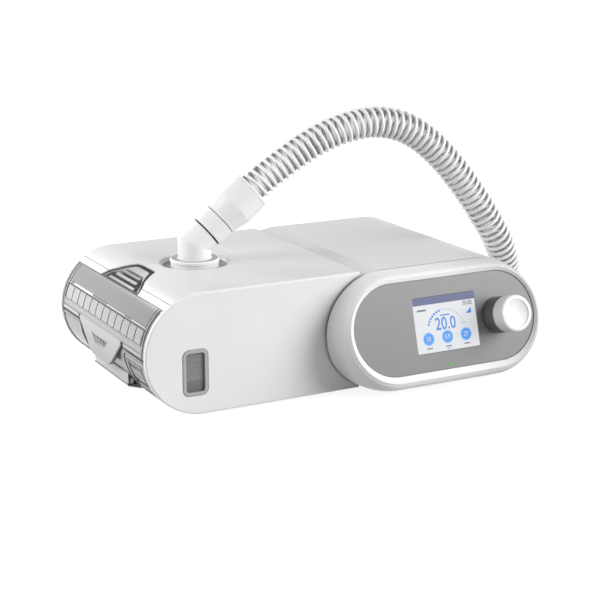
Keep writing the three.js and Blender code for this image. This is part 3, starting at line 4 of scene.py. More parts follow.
import bmesh
import bpy
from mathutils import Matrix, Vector

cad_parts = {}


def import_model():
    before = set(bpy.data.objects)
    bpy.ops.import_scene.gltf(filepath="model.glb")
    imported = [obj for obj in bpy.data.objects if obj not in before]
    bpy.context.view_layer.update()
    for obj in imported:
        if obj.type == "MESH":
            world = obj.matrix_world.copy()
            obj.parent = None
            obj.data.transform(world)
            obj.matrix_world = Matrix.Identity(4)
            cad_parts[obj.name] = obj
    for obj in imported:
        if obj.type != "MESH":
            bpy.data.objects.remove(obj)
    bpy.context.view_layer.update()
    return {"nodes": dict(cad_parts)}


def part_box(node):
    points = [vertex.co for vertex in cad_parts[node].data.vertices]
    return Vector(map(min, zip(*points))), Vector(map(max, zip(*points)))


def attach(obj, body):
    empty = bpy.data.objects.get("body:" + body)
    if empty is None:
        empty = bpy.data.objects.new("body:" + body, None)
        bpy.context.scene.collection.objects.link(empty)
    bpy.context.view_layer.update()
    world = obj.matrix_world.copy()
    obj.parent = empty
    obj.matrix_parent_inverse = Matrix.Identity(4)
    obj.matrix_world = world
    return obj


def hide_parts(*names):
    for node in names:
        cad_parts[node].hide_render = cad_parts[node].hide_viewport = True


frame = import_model()

# Machine frame in millimetres: x is 0 at the centre of the tank's round end, y is 0 at the front plate
MM = 0.001
HOUSING_LOW, HOUSING_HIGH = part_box("humidifier_housing")
END_R = (HOUSING_HIGH.z - HOUSING_LOW.z) / 2 / MM
AXIS_Z = (HOUSING_HIGH.z + HOUSING_LOW.z) / 2 / MM
TOP_Z = AXIS_Z + END_R
FOOT_Z = AXIS_Z - END_R
DEPTH = (HOUSING_HIGH.y - HOUSING_LOW.y) / MM
MID_Y = DEPTH / 2
ORIGIN = Vector((HOUSING_LOW.x + END_R * MM, HOUSING_LOW.y, 0))
SHELL_LOW, SHELL_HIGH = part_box("main_upper_shell")
MAIN_LEFT = (SHELL_LOW.x - ORIGIN.x) / MM + END_R
MAIN_RIGHT = (SHELL_HIGH.x - ORIGIN.x) / MM - END_R
MAIN_MID = (MAIN_LEFT + MAIN_RIGHT) / 2
MAIN_HALF = (MAIN_RIGHT - MAIN_LEFT) / 2 + END_R
SHELL_FRONT = (SHELL_LOW.y - ORIGIN.y) / MM
GAP = 0.3


def world(x, y, z):
    return Vector((ORIGIN.x + x * MM, ORIGIN.y + y * MM, z * MM))


def new_object(name, data):
    obj = bpy.data.objects.new(name, data)
    bpy.context.scene.collection.objects.link(obj)
    return obj


# Camera at the photograph's place
CAMERA_FOCAL_PX = 1499.0
CAMERA_AZIMUTH = math.radians(28.04)
CAMERA_PITCH = math.radians(14.79)
CAMERA_PLACE = (-391.55, -870.69, 288.21 + AXIS_Z)
FRAME_PX = 600
SENSOR_MM = 36


def add_camera():
    data = bpy.data.cameras.new("camera")
    data.sensor_width = SENSOR_MM
    data.lens = CAMERA_FOCAL_PX / FRAME_PX * SENSOR_MM
    camera = new_object("camera", data)
    camera.location = world(*CAMERA_PLACE)
    camera.rotation_euler = (math.pi / 2 - CAMERA_PITCH, 0, -CAMERA_AZIMUTH)
    bpy.context.scene.camera = camera


add_camera()


# Placing functions: u and v lie in a piece's own plane and w comes out of it
def on_front(u, v, w):
    return world(u, w, v)


def on_top(u, v, w):
    return world(u, v, w)


def on_side(u, v, w):
    return world(w, u, v)


TILT = math.radians(16.4)
FACE_REACH = 27.0


def on_face(u, v, w):
    y = -FACE_REACH + v * math.sin(TILT) - w * math.cos(TILT)
    return world(MAIN_MID + u, y, AXIS_Z + v * math.cos(TILT) + w * math.sin(TILT))


# Outlines as lists of (u, v) points
def rect(u0, v0, u1, v1):
    return [(u0, v0), (u1, v0), (u1, v1), (u0, v1)]


def arc(cu, cv, radius, start, end, count):
    angles = [math.radians(start + (end - start) * i / count) for i in range(count + 1)]
    return [(cu + radius * math.cos(angle), cv + radius * math.sin(angle)) for angle in angles]


def rounded_box(u0, u1, v0, v1, corner, count=6):
    return (arc(u1 - corner, v0 + corner, corner, -90, 0, count)
            + arc(u1 - corner, v1 - corner, corner, 0, 90, count)
            + arc(u0 + corner, v1 - corner, corner, 90, 180, count)
            + arc(u0 + corner, v0 + corner, corner, 180, 270, count))


def stadium(cu, cv, half_width, half_height, count=32):
    run = half_width - half_height
    return arc(cu + run, cv, half_height, -90, 90, count) + arc(cu - run, cv, half_height, 90, 270, count)


def inset(outline, distance):
    """The outline moved inward by distance; it runs anticlockwise."""
    moved = []
    count = len(outline)
    for i, (u, v) in enumerate(outline):
        before = Vector(outline[i - 1])
        after = Vector(outline[(i + 1) % count])
        here = Vector((u, v))
        first = here - before
        second = after - here
        if first.length < 1e-6:
            first = here - Vector(outline[i - 2])
        if second.length < 1e-6:
            second = Vector(outline[(i + 2) % count]) - here
        first.normalize()
        second.normalize()
        normal = Vector((-first.y - second.y, first.x + second.x))
        if normal.length < 1e-6:
            moved.append((u, v))
            continue
        normal.normalize()
        lean = max(0.35, normal.dot(Vector((-first.y, first.x))))
        moved.append((u + normal.x * distance / lean, v + normal.y * distance / lean))
    return moved


# Meshes
MERGE_M = 0.000002


def mesh_object(name, verts, faces):
    mesh = bpy.data.meshes.new(name)
    mesh.from_pydata([tuple(v) for v in verts], [], faces)
    bm = bmesh.new()
    bm.from_mesh(mesh)
    bmesh.ops.remove_doubles(bm, verts=bm.verts, dist=MERGE_M)
    bmesh.ops.dissolve_degenerate(bm, edges=bm.edges, dist=MERGE_M)
    bmesh.ops.recalc_face_normals(bm, faces=bm.faces)
    bm.to_mesh(mesh)
    bm.free()
    return new_object(name, mesh)


def loft(name, rings, looped=False):
    """A skin through rings of equal counts, capped at both ends or joined last to first."""
    count = len(rings[0])
    verts = [p for ring in rings for p in ring]
    faces = []
    spans = len(rings) if looped else len(rings) - 1
    for r in range(spans):
        a = r * count
        b = (r + 1) % len(rings) * count
        for i in range(count):
            j = (i + 1) % count
            faces.append((a + i, a + j, b + j, b + i))
    if not looped:
        faces.append(tuple(range(count - 1, -1, -1)))
        faces.append(tuple(range((len(rings) - 1) * count, len(rings) * count)))
    return mesh_object(name, verts, faces)


def prism(name, outline, w0, w1, place=on_front, edge=0.0, steps=3):
    """An outline carried from w0 to w1 with rounded edges."""
    levels = [(w0, 0), (w1, 0)]
    if edge > 0:
        angles = [math.pi / 2 * i / steps for i in range(steps, -1, -1)]
        levels = [(w0 + edge * (1 - math.sin(a)), edge * (1 - math.cos(a))) for a in angles]
        levels += [(w1 - (w - w0), d) for w, d in reversed(levels)]
    rings = [[place(u, v, w) for u, v in (inset(outline, d) if d else outline)] for w, d in levels]
    return loft(name, rings)


def turned(name, profile, place, centre=(0, 0), segments=64):
    """A body of revolution about w through centre, from (radius, w) pairs; a closed profile makes a tube."""
    looped = profile[0] == profile[-1]
    turns = [2 * math.pi * i / segments for i in range(segments)]
    rings = []
    for radius, w in profile[:-1] if looped else profile:
        radius = max(radius, 0.0005)
        rings.append([place(centre[0] + radius * math.cos(a), centre[1] + radius * math.sin(a), w)
                      for a in turns])
    return loft(name, rings, looped)


def rod(name, radius, low, high, place, centre=(0, 0), segments=64):
    return turned(name, [(0, low), (radius, low), (radius, high), (0, high)], place, centre, segments)


def tube(name, profile, place, centre=(0, 0), segments=96):
    """A body of revolution with a bore: the profile is closed from its last point to its first."""
    return turned(name, [*profile, profile[0]], place, centre, segments)


def box_mesh(name, low, high, place=on_top, edge=0.0):
    return prism(name, rect(*low[:2], *high[:2]), low[2], high[2], place, edge, 2)


def settle(obj):
    """Bakes the modifiers into the mesh."""
    depsgraph = bpy.context.evaluated_depsgraph_get()
    mesh = bpy.data.meshes.new_from_object(obj.evaluated_get(depsgraph))
    old = obj.data
    obj.modifiers.clear()
    obj.data = mesh
    bpy.data.meshes.remove(old)


def discard(obj):
    mesh = obj.data
    bpy.data.objects.remove(obj)
    bpy.data.meshes.remove(mesh)


def merged(name, parts):
    """One object of several separate meshes."""
    bm = bmesh.new()
    for part in parts:
        bm.from_mesh(part.data)
        discard(part)
    mesh = bpy.data.meshes.new(name)
    bm.to_mesh(mesh)
    bm.free()
    return new_object(name, mesh)


def carve(obj, cutters, operation="DIFFERENCE"):
    for cutter in cutters:
        modifier = obj.modifiers.new("carve", "BOOLEAN")
        modifier.solver = "MANIFOLD"
        modifier.operation = operation
        modifier.object = cutter
        bpy.context.view_layer.update()
        settle(obj)
        discard(cutter)
    return obj


def dress(obj, material, body, nodes=(), angle=32):
    """Shades a piece, gives it its material, sets it on its body and hides the CAD nodes it replaces."""
    obj.data.materials.clear()
    obj.data.materials.append(material)
    obj.data.shade_smooth()
    obj.data.set_sharp_from_angle(angle=math.radians(angle))
    weighted = obj.modifiers.new("normals", "WEIGHTED_NORMAL")
    weighted.keep_sharp = True
    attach(obj, body)
    if nodes:
        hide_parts(*nodes)
    return obj


def dresser(body):
    """The dress function of one body, which takes the replaced nodes after the material."""
    def apply(obj, material, *nodes, angle=32):
        return dress(obj, material, body, nodes, angle)
    return apply


dress_shell = dresser("base")
dress_screen = dresser("base")
dress_tank = dresser("water_tank")
dress_clip = dresser("clip")
dress_elbow = dresser("elbow_swivel")


# Materials
def grey(level):
    return (level,) * 3


def shade(color, factor):
    return tuple(min(1.0, c * factor) for c in color)


def shader(name, color, roughness, metallic=0.0, specular=0.5):
    material = bpy.data.materials.new(name)
    material.use_nodes = True
    principled = material.node_tree.nodes["Principled BSDF"]
    principled.inputs["Base Color"].default_value = (*color, 1)
    principled.inputs["Roughness"].default_value = roughness
    principled.inputs["Metallic"].default_value = metallic
    principled.inputs["Specular IOR Level"].default_value = specular
    return material, material.node_tree.nodes, material.node_tree.links, principled


def noise(nodes, links, scale, detail=2.0, stretch=(1, 1, 1)):
    """A noise texture in object space, per metre, that may be stretched."""
    coordinates = nodes.new("ShaderNodeTexCoord")
    mapping = nodes.new("ShaderNodeMapping")
    mapping.inputs["Scale"].default_value = stretch
    texture = nodes.new("ShaderNodeTexNoise")
    texture.inputs["Scale"].default_value = scale
    texture.inputs["Detail"].default_value = detail
    links.new(coordinates.outputs["Object"], mapping.inputs["Vector"])
    links.new(mapping.outputs["Vector"], texture.inputs["Vector"])
    return texture.outputs["Fac"]


def ramp(nodes, links, source, stops):
    """A colour ramp over a value, from (place, colour) stops."""
    node = nodes.new("ShaderNodeValToRGB")
    elements = node.color_ramp.elements
    while len(elements) < len(stops):
        elements.new(0.5)
    for element, (place, color) in zip(elements, stops):
        element.position = place
        element.color = (*color, 1)
    links.new(source, node.inputs["Fac"])
    return node.outputs["Color"]


def mottled(nodes, links, source, color, low, high, places=(0.3, 0.7)):
    """A colour that drifts from low to high times itself with a value."""
    return ramp(nodes, links, source, [(places[0], shade(color, low)), (places[1], shade(color, high))])


def ranged(nodes, links, source, to=(0, 1), span=(0, 1)):
    """A value mapped from the range span to the range to."""
    node = nodes.new("ShaderNodeMapRange")
    for key, number in zip(("From Min", "From Max", "To Min", "To Max"), (*span, *to)):
        node.inputs[key].default_value = number
    links.new(source, node.inputs["Value"])
    return node.outputs["Result"]


def along(nodes, links, axis, low, high, to=(0, 1)):
    """The place along an axis of the machine, from low to high in millimetres, mapped to the range to."""
    coordinates = nodes.new("ShaderNodeTexCoord")
    separate = nodes.new("ShaderNodeSeparateXYZ")
    links.new(coordinates.outputs["Object"], separate.inputs["Vector"])
    origin = ORIGIN["XYZ".index(axis)]
    return ranged(nodes, links, separate.outputs[axis], to, (origin + low * MM, origin + high * MM))


def bumped(nodes, links, principled, height, strength, depth):
    bump = nodes.new("ShaderNodeBump")
    bump.inputs["Strength"].default_value = strength
    bump.inputs["Distance"].default_value = depth
    links.new(height, bump.inputs["Height"])
    links.new(bump.outputs["Normal"], principled.inputs["Normal"])


# Noise scales, per metre: the drift of colour, the drift of gloss and the drift of a graded tone
DRIFT_SCALE = 14
GLOSS_SCALE = 60
TONE_SCALE = 45


def moulded(name, color, roughness, grain=1500, depth=0.00004, drift=0.02):
    """Moulded plastic: fine grain, a little drift of colour and of gloss."""
    material, nodes, links, principled = shader(name, color, roughness)
    tone = mottled(nodes, links, noise(nodes, links, DRIFT_SCALE, 3), color, 1 - drift, 1 + drift)
    links.new(tone, principled.inputs["Base Color"])
    gloss = ranged(nodes, links, noise(nodes, links, GLOSS_SCALE, 4),
                   (roughness * 0.9, min(1.0, roughness * 1.12)))
    links.new(gloss, principled.inputs["Roughness"])
    bumped(nodes, links, principled, noise(nodes, links, grain, 2), 0.25, depth)
    return material


def graded(name, levels, span, roughness, specular=0.5, grain=700, streak=(1, 1, 1)):
    """Plastic whose grey runs along the machine: (place, level) pairs over a span (axis, low, high)."""
    material, nodes, links, principled = shader(name, grey(levels[0][1]), roughness, 0.0, specular)
    drift = nodes.new("ShaderNodeMath")
    drift.operation = "MULTIPLY_ADD"
    drift.inputs[1].default_value = 0.12
    links.new(noise(nodes, links, TONE_SCALE, 3, streak), drift.inputs[0])
    links.new(along(nodes, links, *span), drift.inputs[2])
    tone = ramp(nodes, links, drift.outputs["Value"], [(place, grey(level)) for place, level in levels])
    links.new(tone, principled.inputs["Base Color"])
    bumped(nodes, links, principled, noise(nodes, links, grain, 2), 0.15, 0.00003)
    return material


def thin_beyond(material, start, end, alpha):
    """From start to end along x, in millimetres, the plastic turns from solid to see-through."""
    nodes, links = material.node_tree.nodes, material.node_tree.links
    links.new(along(nodes, links, "X", start, end, (1.0, alpha)), nodes["Principled BSDF"].inputs["Alpha"])


def brushed(name, color, roughness=0.32, stretch=(1, 40, 40)):
    """Metal with fine brushed lines."""
    material, nodes, links, principled = shader(name, color, roughness, 1.0)
    lines = noise(nodes, links, 220, 3, stretch)
    links.new(ranged(nodes, links, lines, (roughness * 0.75, roughness * 1.3)),
              principled.inputs["Roughness"])
    links.new(mottled(nodes, links, lines, color, 0.92, 1.06), principled.inputs["Base Color"])
    return material


def foam_material(name, color, scale):
    """Open foam or fibre: deep small cells."""
    material, nodes, links, principled = shader(name, color, 0.95)
    cells = nodes.new("ShaderNodeTexVoronoi")
    cells.inputs["Scale"].default_value = scale
    coordinates = nodes.new("ShaderNodeTexCoord")
    links.new(coordinates.outputs["Object"], cells.inputs["Vector"])
    tone = mottled(nodes, links, cells.outputs["Distance"], color, 0.5, 1.3, (0.1, 0.6))
    links.new(tone, principled.inputs["Base Color"])
    bumped(nodes, links, principled, cells.outputs["Distance"], 1.0, 0.0006)
    return material


WHITE = moulded("white_shell", grey(0.80), 0.40)
# The tops' grey is partly painted shade: darker than the white, for the lesser light that falls on the tops
TOP_GREY_PARTLY_SHADED = moulded("grey_top", grey(0.65), 0.34)
DARK_GREY = moulded("dark_grey", grey(0.085), 0.4)
# Painted shade: the outlet dish's floor and the ring on the collar's top are darkened for the shade in the
# dish
DISH_SHADE_GREY = moulded("dish_painted_shade", grey(0.34), 0.5)
CUFF_WHITE = moulded("cuff_white", grey(0.80), 0.32, 900, 0.00002, 0.01)
KNOB_WHITE = moulded("knob_white", grey(0.72), 0.3, 900, 0.00002, 0.01)
BLACK = moulded("black_plastic", grey(0.02), 0.55)
RUBBER = moulded("rubber_dark", grey(0.035), 0.8, 1200, 0.00008, 0.1)
SEAL = moulded("seal_rubber", (0.1, 0.1, 0.11), 0.6, 900, 0.00004, 0.05)
STEEL = brushed("steel", (0.6, 0.61, 0.62))
ALUMINIUM = brushed("aluminium_plate", (0.66, 0.67, 0.68), 0.38, (40, 1, 40))
BOARD = moulded("board_green", (0.03, 0.15, 0.06), 0.35, 600, 0.0001, 0.15)
HEATER_RING = brushed("heater_ring", (0.35, 0.2, 0.1), 0.45)
BLOWER = moulded("blower_white", (0.7, 0.7, 0.69), 0.5)
IMPELLER = moulded("impeller_plastic", (0.34, 0.44, 0.52), 0.4)
FOAM = foam_material("foam_grey", grey(0.07), 700)
FILTER = foam_material("filter_grey", grey(0.15), 1100)

# The slope's grey, a little lighter than the top's: painted light on the slope that faces the side lamp
SLOPE_LIT_GREY = moulded("slope_grey_painted_light", grey(0.67), 0.6)
FRAME_GREY = moulded("frame_grey", grey(0.40), 0.35, 900, 0.00002, 0.02)

# Level window, from the tank's axis
WINDOW = {"left": -15.5, "right": 2.9, "bottom": -28.4, "top": 3.5, "corner": 4.6, "frame": 2.4, "proud": 0.3,
          "lens": 1.4}

# Plastics whose tone runs along the machine, most of it painted light and shade. The tank's smoky plastic
# goes from dark walls to bright edges, the brightest being painted highlights
UPRIGHT = ("Z", FOOT_Z, TOP_Z)
THROUGH = ("Y", 0, DEPTH)
GRIP_SPAN = ("Y", MID_Y - 25, MID_Y + 25)
# The face plate's grey darkens towards the bottom: painted shade
PLATE_SHADED_GREY = graded("plate_grey", [(0.0, 0.185), (1.0, 0.245)], UPRIGHT, 0.5, grain=2200)
# Darker towards the bottom: painted shade
SMOKE_DARK = graded("smoke_dark", [(0.0, 0.05), (0.45, 0.09), (1.0, 0.13)], UPRIGHT, 0.16)
thin_beyond(SMOKE_DARK, -25, -18, 0.5)
SMOKE_PANEL = graded("smoke_panel", [(0.0, 0.24), (1.0, 0.275)], THROUGH, 0.22)
# Darker towards the bottom: painted shade
SMOKE_MID = graded("smoke_mid", [(0.0, 0.22), (1.0, 0.34)], UPRIGHT, 0.18)
SMOKE_LIGHT = graded("smoke_light", [(0.0, 0.37), (1.0, 0.49)], THROUGH, 0.15, grain=400, streak=(1, 6, 1))
# Near-white smoke plastic for painted highlights on the lid's lines and the ledge's edges
SMOKE_HIGHLIGHT = graded("smoke_painted_highlight", [(0.0, 0.70), (1.0, 0.86)], THROUGH, 0.1)
# The grip's grey is lightest about a quarter of the way along the grip: a painted highlight
GRIP_GREY_HIGHLIGHT = graded("grip_grey_painted_highlight", [(0.0, 0.25), (0.28, 0.50), (1.0, 0.32)], GRIP_SPAN, 0.15)
GRIP_BAR_GREY = graded("grip_bar_grey", [(0.0, 0.25), (1.0, 0.20)], GRIP_SPAN, 0.3)
# Painted shade: near-black for the grip's floor and the edge round the notch, where shade falls in the recess
GRIP_SHADE_BLACK = graded("grip_painted_shade", [(0.0, 0.012), (1.0, 0.022)], GRIP_SPAN, 0.6, specular=0.15)
WINDOW_CLEAR = graded("window_clear", [(0.0, 0.115), (0.36, 0.135), (0.39, 0.20), (0.92, 0.185), (1.0, 0.12)],
                      ("Z", AXIS_Z + WINDOW["bottom"], AXIS_Z + WINDOW["top"]), 0.12)
# The clip's grey darkens towards the bottom: painted shade
CLIP_SHADED_GREY = graded("clip_grey", [(0.0, 0.30), (1.0, 0.44)], ("Z", AXIS_Z - 20, AXIS_Z + 4), 0.25)
# The bezel's white darkens towards the right: painted shade on the ring's right side
RING_WHITE_SHADED_RIGHT = graded("ring_white_painted_shade", [(0.0, 0.80), (0.6, 0.77), (1.0, 0.46)],
                    ("X", MAIN_LEFT - END_R, MAIN_RIGHT + END_R), 0.4)

# Sizes of the housing and its cover, in millimetres and degrees
HOUSING = {"wall": 3.0, "tip": 14.2, "seat_gap": 0.4, "bay_right": 88.0, "top_angle": 130.0, "duct": 9.5,
           "edge": 1.3, "skin_edge": 1.2, "deck": 2.0}
COVER = {"thick": 2.5, "seam": 122.3, "right": 67.15, "edge": 0.35}
NOTCH = {"open": 34.4, "waist": 25.0, "apex": 14.0, "round": 6.0, "apex_x": -4.3, "waist_x": -17.4}
OUTLET = {"x": 31.0, "y": 82.3, "rim": 25.9, "floor": 21.6, "depth": 4.2, "tube": 15.0, "bore": 9.4,
          "flange": 2.0}
HEATER = {"x": 22.0, "radius": 40.0, "well": 5.6}
LEDGE = {"x": 34.6, "half": 32.0, "top": 23.0, "bottom": 32.2, "wall": 1.8, "foot_x": 24.0, "foot_drop": 35.2,
         "root": 50.0}
FOOT = {"radius": 7.5, "deep": 4.5, "left_x": 8.0, "inset": 19.0}
LINE_PROUD = 0.04
OVERRUN = 2.0
OUTLET_AT = (OUTLET["x"], OUTLET["y"])
HEATER_AT = (HEATER["x"], MID_Y)
INLET_RISE = 11
INLET_AT = (MID_Y, AXIS_Z + INLET_RISE)

SINE = math.sin(math.radians(HOUSING["top_angle"]))
COSINE = math.cos(math.radians(HOUSING["top_angle"]))
CEILING_Z = AXIS_Z + END_R * SINE
FLOOR_Z = AXIS_Z - END_R * SINE
TIP_X = MAIN_LEFT - HOUSING["tip"]


def curve3(start, bend, end, count=10):
    """Points of a quadratic curve, without its start."""
    points = []
    for i in range(1, count + 1):
        t = i / count
        points.append(tuple(
            (1 - t) ** 2 * a + 2 * t * (1 - t) * b + t * t * c for a, b, c in zip(start, bend, end)))
    return points


def notch_outline(grow):
    """The grip notch from above, grown all round."""
    wide = NOTCH["open"] + grow
    waist = NOTCH["waist"] + grow
    apex = NOTCH["apex"] + grow
    end_x = NOTCH["apex_x"] + grow
    turn = NOTCH["round"]
    waist_x = NOTCH["waist_x"]
    shoulder = END_R * COSINE
    lower = [(-END_R - OVERRUN, -wide), (shoulder, -wide)]
    lower += curve3(lower[-1], (waist_x - turn, -wide), (waist_x, -waist))
    lower += curve3(lower[-1], (end_x - 3, -apex - 2.4), (end_x - 1.6, -apex - 1.5), 4)
    lower += curve3(lower[-1], (end_x, -apex), (end_x, -apex + turn))
    upper = [(u, -v) for u, v in reversed(lower)]
    return [(u, MID_Y + v) for u, v in lower + upper]


def round_band(inner, outer, start, end, count=24):
    return arc(0, AXIS_Z, outer, start, end, count) + arc(0, AXIS_Z, inner, end, start, count)


def band(name, inner, outer, start, end, y0=0, y1=DEPTH, count=24, edge=0.0):
    """A piece of round wall about the tank's axis, between two radii and two angles, from y0 to y1."""
    return prism(name, round_band(inner, outer, start, end, count), y0, y1, on_front, edge, 2)


def between_skins(name, outline):
    return prism(name, outline, HOUSING["skin_edge"], DEPTH - HOUSING["skin_edge"])


def notch_cut():
    return prism("notch_cut", notch_outline(0), FLOOR_Z, TOP_Z + OVERRUN, on_top)


def cover_section(inner, outer, angle, right, edge):
    return (arc(0, AXIS_Z, outer, 90, angle, 24) + arc(0, AXIS_Z, inner, angle, 90, 24)
            + [(right, AXIS_Z + inner), (right, AXIS_Z + outer - edge), (right - edge, AXIS_Z + outer)])


def build_housing():
    skin, edge, wall, seat = (HOUSING[key] for key in ("skin_edge", "edge", "wall", "seat_gap"))
    right, deck_z, past_top = COVER["right"], TOP_Z - HOUSING["deck"], TOP_Z + OVERRUN
    outline = arc(0, AXIS_Z, END_R, 90, 270, 96) + [(TIP_X + edge, FOOT_Z), (TIP_X + edge, TOP_Z)]
    body = prism("housing_shell", outline, 0, DEPTH, on_front, edge, 4)
    neck, rim, shelf = OUTLET["tube"] + GAP, OUTLET["rim"], TOP_Z - OUTLET["depth"] - OUTLET["flange"] - GAP
    room = [(0, CEILING_Z - OVERRUN), (neck, CEILING_Z - OVERRUN), (neck, shelf), (rim, shelf), (rim, TOP_Z),
            (0, TOP_Z)]
    seat_end = COVER["seam"] + math.degrees(GAP / END_R)
    tools = [
        box_mesh("beyond_tip", (TIP_X, -OVERRUN, FOOT_Z - OVERRUN),
                 (TIP_X + 2 * edge, DEPTH + OVERRUN, past_top)),
        prism("main_seat", stadium(MAIN_MID, AXIS_Z, MAIN_HALF + seat, END_R + seat, 64), -OVERRUN,
              DEPTH + OVERRUN),
        box_mesh("bay", (-END_R - OVERRUN, wall, FLOOR_Z), (HOUSING["bay_right"], DEPTH - wall, CEILING_Z)),
        between_skins("cover_seat",
                      cover_section(END_R - COVER["thick"] - GAP, END_R + OVERRUN, seat_end, right, 0)),
        box_mesh("deck_seat", (right - GAP, skin, deck_z), (TIP_X + OVERRUN, DEPTH - skin, past_top)),
        notch_cut(),
        box_mesh("ledge_room",
                 (-END_R - OVERRUN, MID_Y - LEDGE["half"] - wall, AXIS_Z - LEDGE["foot_drop"] - seat - GAP),
                 (wall - LEDGE["foot_x"], MID_Y + LEDGE["half"] + wall, FLOOR_Z + OVERRUN)),
        prism("window_hole", window_outline(GAP), -OVERRUN, wall + OVERRUN),
        turned("flange_room", room, on_top, OUTLET_AT),
        rod("heater_well", HEATER["radius"] + GAP, FLOOR_Z - HEATER["well"], FLOOR_Z + OVERRUN, on_top,
            HEATER_AT),
        rod("duct", HOUSING["duct"], HOUSING["bay_right"] - OVERRUN, MAIN_LEFT, on_side, INLET_AT),
    ]
    tools += [rod("foot_well", FOOT["radius"] + GAP, 0, FOOT["deep"], on_top, (FOOT["left_x"], y), 32)
              for y in (FOOT["inset"], DEPTH - FOOT["inset"])]
    dress_shell(carve(body, tools), WHITE, "humidifier_housing")
    deck = [(right, deck_z), (TIP_X, deck_z), (TIP_X, TOP_Z), (right + COVER["edge"], TOP_Z),
            (right, TOP_Z - COVER["edge"])]
    dress_shell(between_skins("housing_deck", deck), TOP_GREY_PARTLY_SHADED)
    seam = box_mesh("deck_seam", (right - 0.3, skin, TOP_Z - 1),
                    (right + 0.5, DEPTH - skin, TOP_Z + LINE_PROUD))
    dress_shell(seam, WHITE)
    line = band("cover_seam", END_R - 1.2, END_R + LINE_PROUD, COVER["seam"] - 0.25, COVER["seam"] + 0.6,
                skin, DEPTH - skin, 4)
    dress_shell(carve(line, [notch_cut()]), DARK_GREY)


def build_cover():
    thick, bore, neck, flange = COVER["thick"], OUTLET["bore"], OUTLET["tube"], OUTLET["flange"]
    section = cover_section(END_R - thick, END_R, COVER["seam"], COVER["right"], COVER["edge"])
    rim, floor, low = OUTLET["rim"], OUTLET["floor"], TOP_Z - OUTLET["depth"]
    dish = [(0, low), (floor, low), (floor + 2.4, TOP_Z - 1.7), (floor + 3.4, TOP_Z - 0.7),
            (rim - 0.4, TOP_Z - 0.12), (rim, TOP_Z), (rim, TOP_Z + OVERRUN), (0, TOP_Z + OVERRUN)]
    plate = between_skins("top_cover", section)
    carve(plate, [notch_cut(), turned("dish", dish, on_top, OUTLET_AT, 96)])
    dress(plate, TOP_GREY_PARTLY_SHADED, "base", ["humidifier_top_cover"])
    under = TOP_Z - thick - GAP
    socket = [(bore, CEILING_Z + GAP), (neck, CEILING_Z + GAP), (neck, low - flange),
              (rim - GAP, low - flange), (rim - GAP, under), (floor + 2.0, under), (floor, low), (bore, low)]
    # The socket's flange is the dish's floor; its dark grey is painted shade in the dish
    dress(tube("outlet_flange", socket, on_top, OUTLET_AT), DISH_SHADE_GREY, "base", ["outlet_socket"])


# Marks on the window's lens: height, start and end as shares of it
WINDOW_MARKS = [(0.36, 0.1, 0.9), (0.80, 0.25, 0.85), (0.66, 0.15, 0.8), (0.22, 0.3, 0.8)]


def window_outline(grow):
    return rounded_box(WINDOW["left"] - grow, WINDOW["right"] + grow, AXIS_Z + WINDOW["bottom"] - grow,
                       AXIS_Z + WINDOW["top"] + grow, WINDOW["corner"] + grow, 10)


def build_window():
    wall, rim = HOUSING["wall"], WINDOW["frame"]
    face = wall - WINDOW["lens"]
    frame_body = prism("window_frame", window_outline(0), -WINDOW["proud"], wall, on_front, 0.6, 4)
    hole = prism("window_opening", window_outline(-rim), -OVERRUN, wall + OVERRUN)
    rebate = prism("window_rebate", window_outline(GAP - rim / 2), face - GAP, wall + OVERRUN)
    dress(carve(frame_body, [hole, rebate]), FRAME_GREY, "base", ["level_window_frame"])
    lens = prism("window_lens", window_outline(-rim / 2), face, wall)
    dress(lens, WINDOW_CLEAR, "base", ["level_window_lens"])
    left, low = WINDOW["left"] + rim, AXIS_Z + WINDOW["bottom"] + rim
    width = WINDOW["right"] - WINDOW["left"] - 2 * rim
    height = WINDOW["top"] - WINDOW["bottom"] - 2 * rim
    marks = []
    for share, start, end in WINDOW_MARKS:
        z = low + height * share
        marks.append(box_mesh("mark", (left + width * start, face - 0.12, z),
                              (left + width * end, face + 0.1, z + 0.35)))
    dress(merged("window_marks", marks), SMOKE_MID, "base")


# Water tank
TANK = {"wall": 2.2, "right": 84.0, "side": 0.5, "port": 8.0, "shell": 41.45, "line": 41.95,
        "plate_hole": 37.3}
FRONT_Y = HOUSING["wall"] + TANK["side"]
BACK_Y = DEPTH - FRONT_Y
LID_TOP = CEILING_Z - GAP
BASE_TOP = AXIS_Z - 1.5
BASE_BOTTOM = FLOOR_Z + GAP
HINGE = {"rise": 2.3, "inset": 1.9, "pocket_top": 5.2, "pocket_deep": 4.6, "side": 0.5, "lug": 3.0,
         "pin": 1.1}
CLIP = {"proud": 0.6, "thick": 2.4, "top": 39.4, "mid": 28.8, "low": 13.4, "mid_drop": 9.5, "low_drop": 20.0,
        "round": 5.0}
HINGE_X = HINGE["inset"] - END_R
HINGE_Z = AXIS_Z + HINGE["rise"]
HINGE_AT = (HINGE_X, HINGE_Z)
POCKET_Y = [MID_Y - CLIP["top"] - HINGE["side"], MID_Y + CLIP["top"] + HINGE["side"]]
RIBS = {"count": 12, "start": 154.9, "end": 168.3, "gap": 1.3, "margin": 7.0}
# Bands round the lid's end, in degrees about the tank's axis
LID_BANDS = {"panel": (130.9, 151.2), "panel_ends": (131, 151.4), "seam": (128.4, 130.3),
             "ends": (130.9, 179.2), "waist": (176.4, 179.4), "waist_top": (171.6, 172.8),
             "waist_band": (170.4, 175.8)}
# Raised lines of the lid: start and end in degrees, then low and high as shares of its depth
LID_LINES_LIGHT = [(152.1, 152.9, 0.0, 1.0), (169.2, 170.1, 0.0, 1.0)]
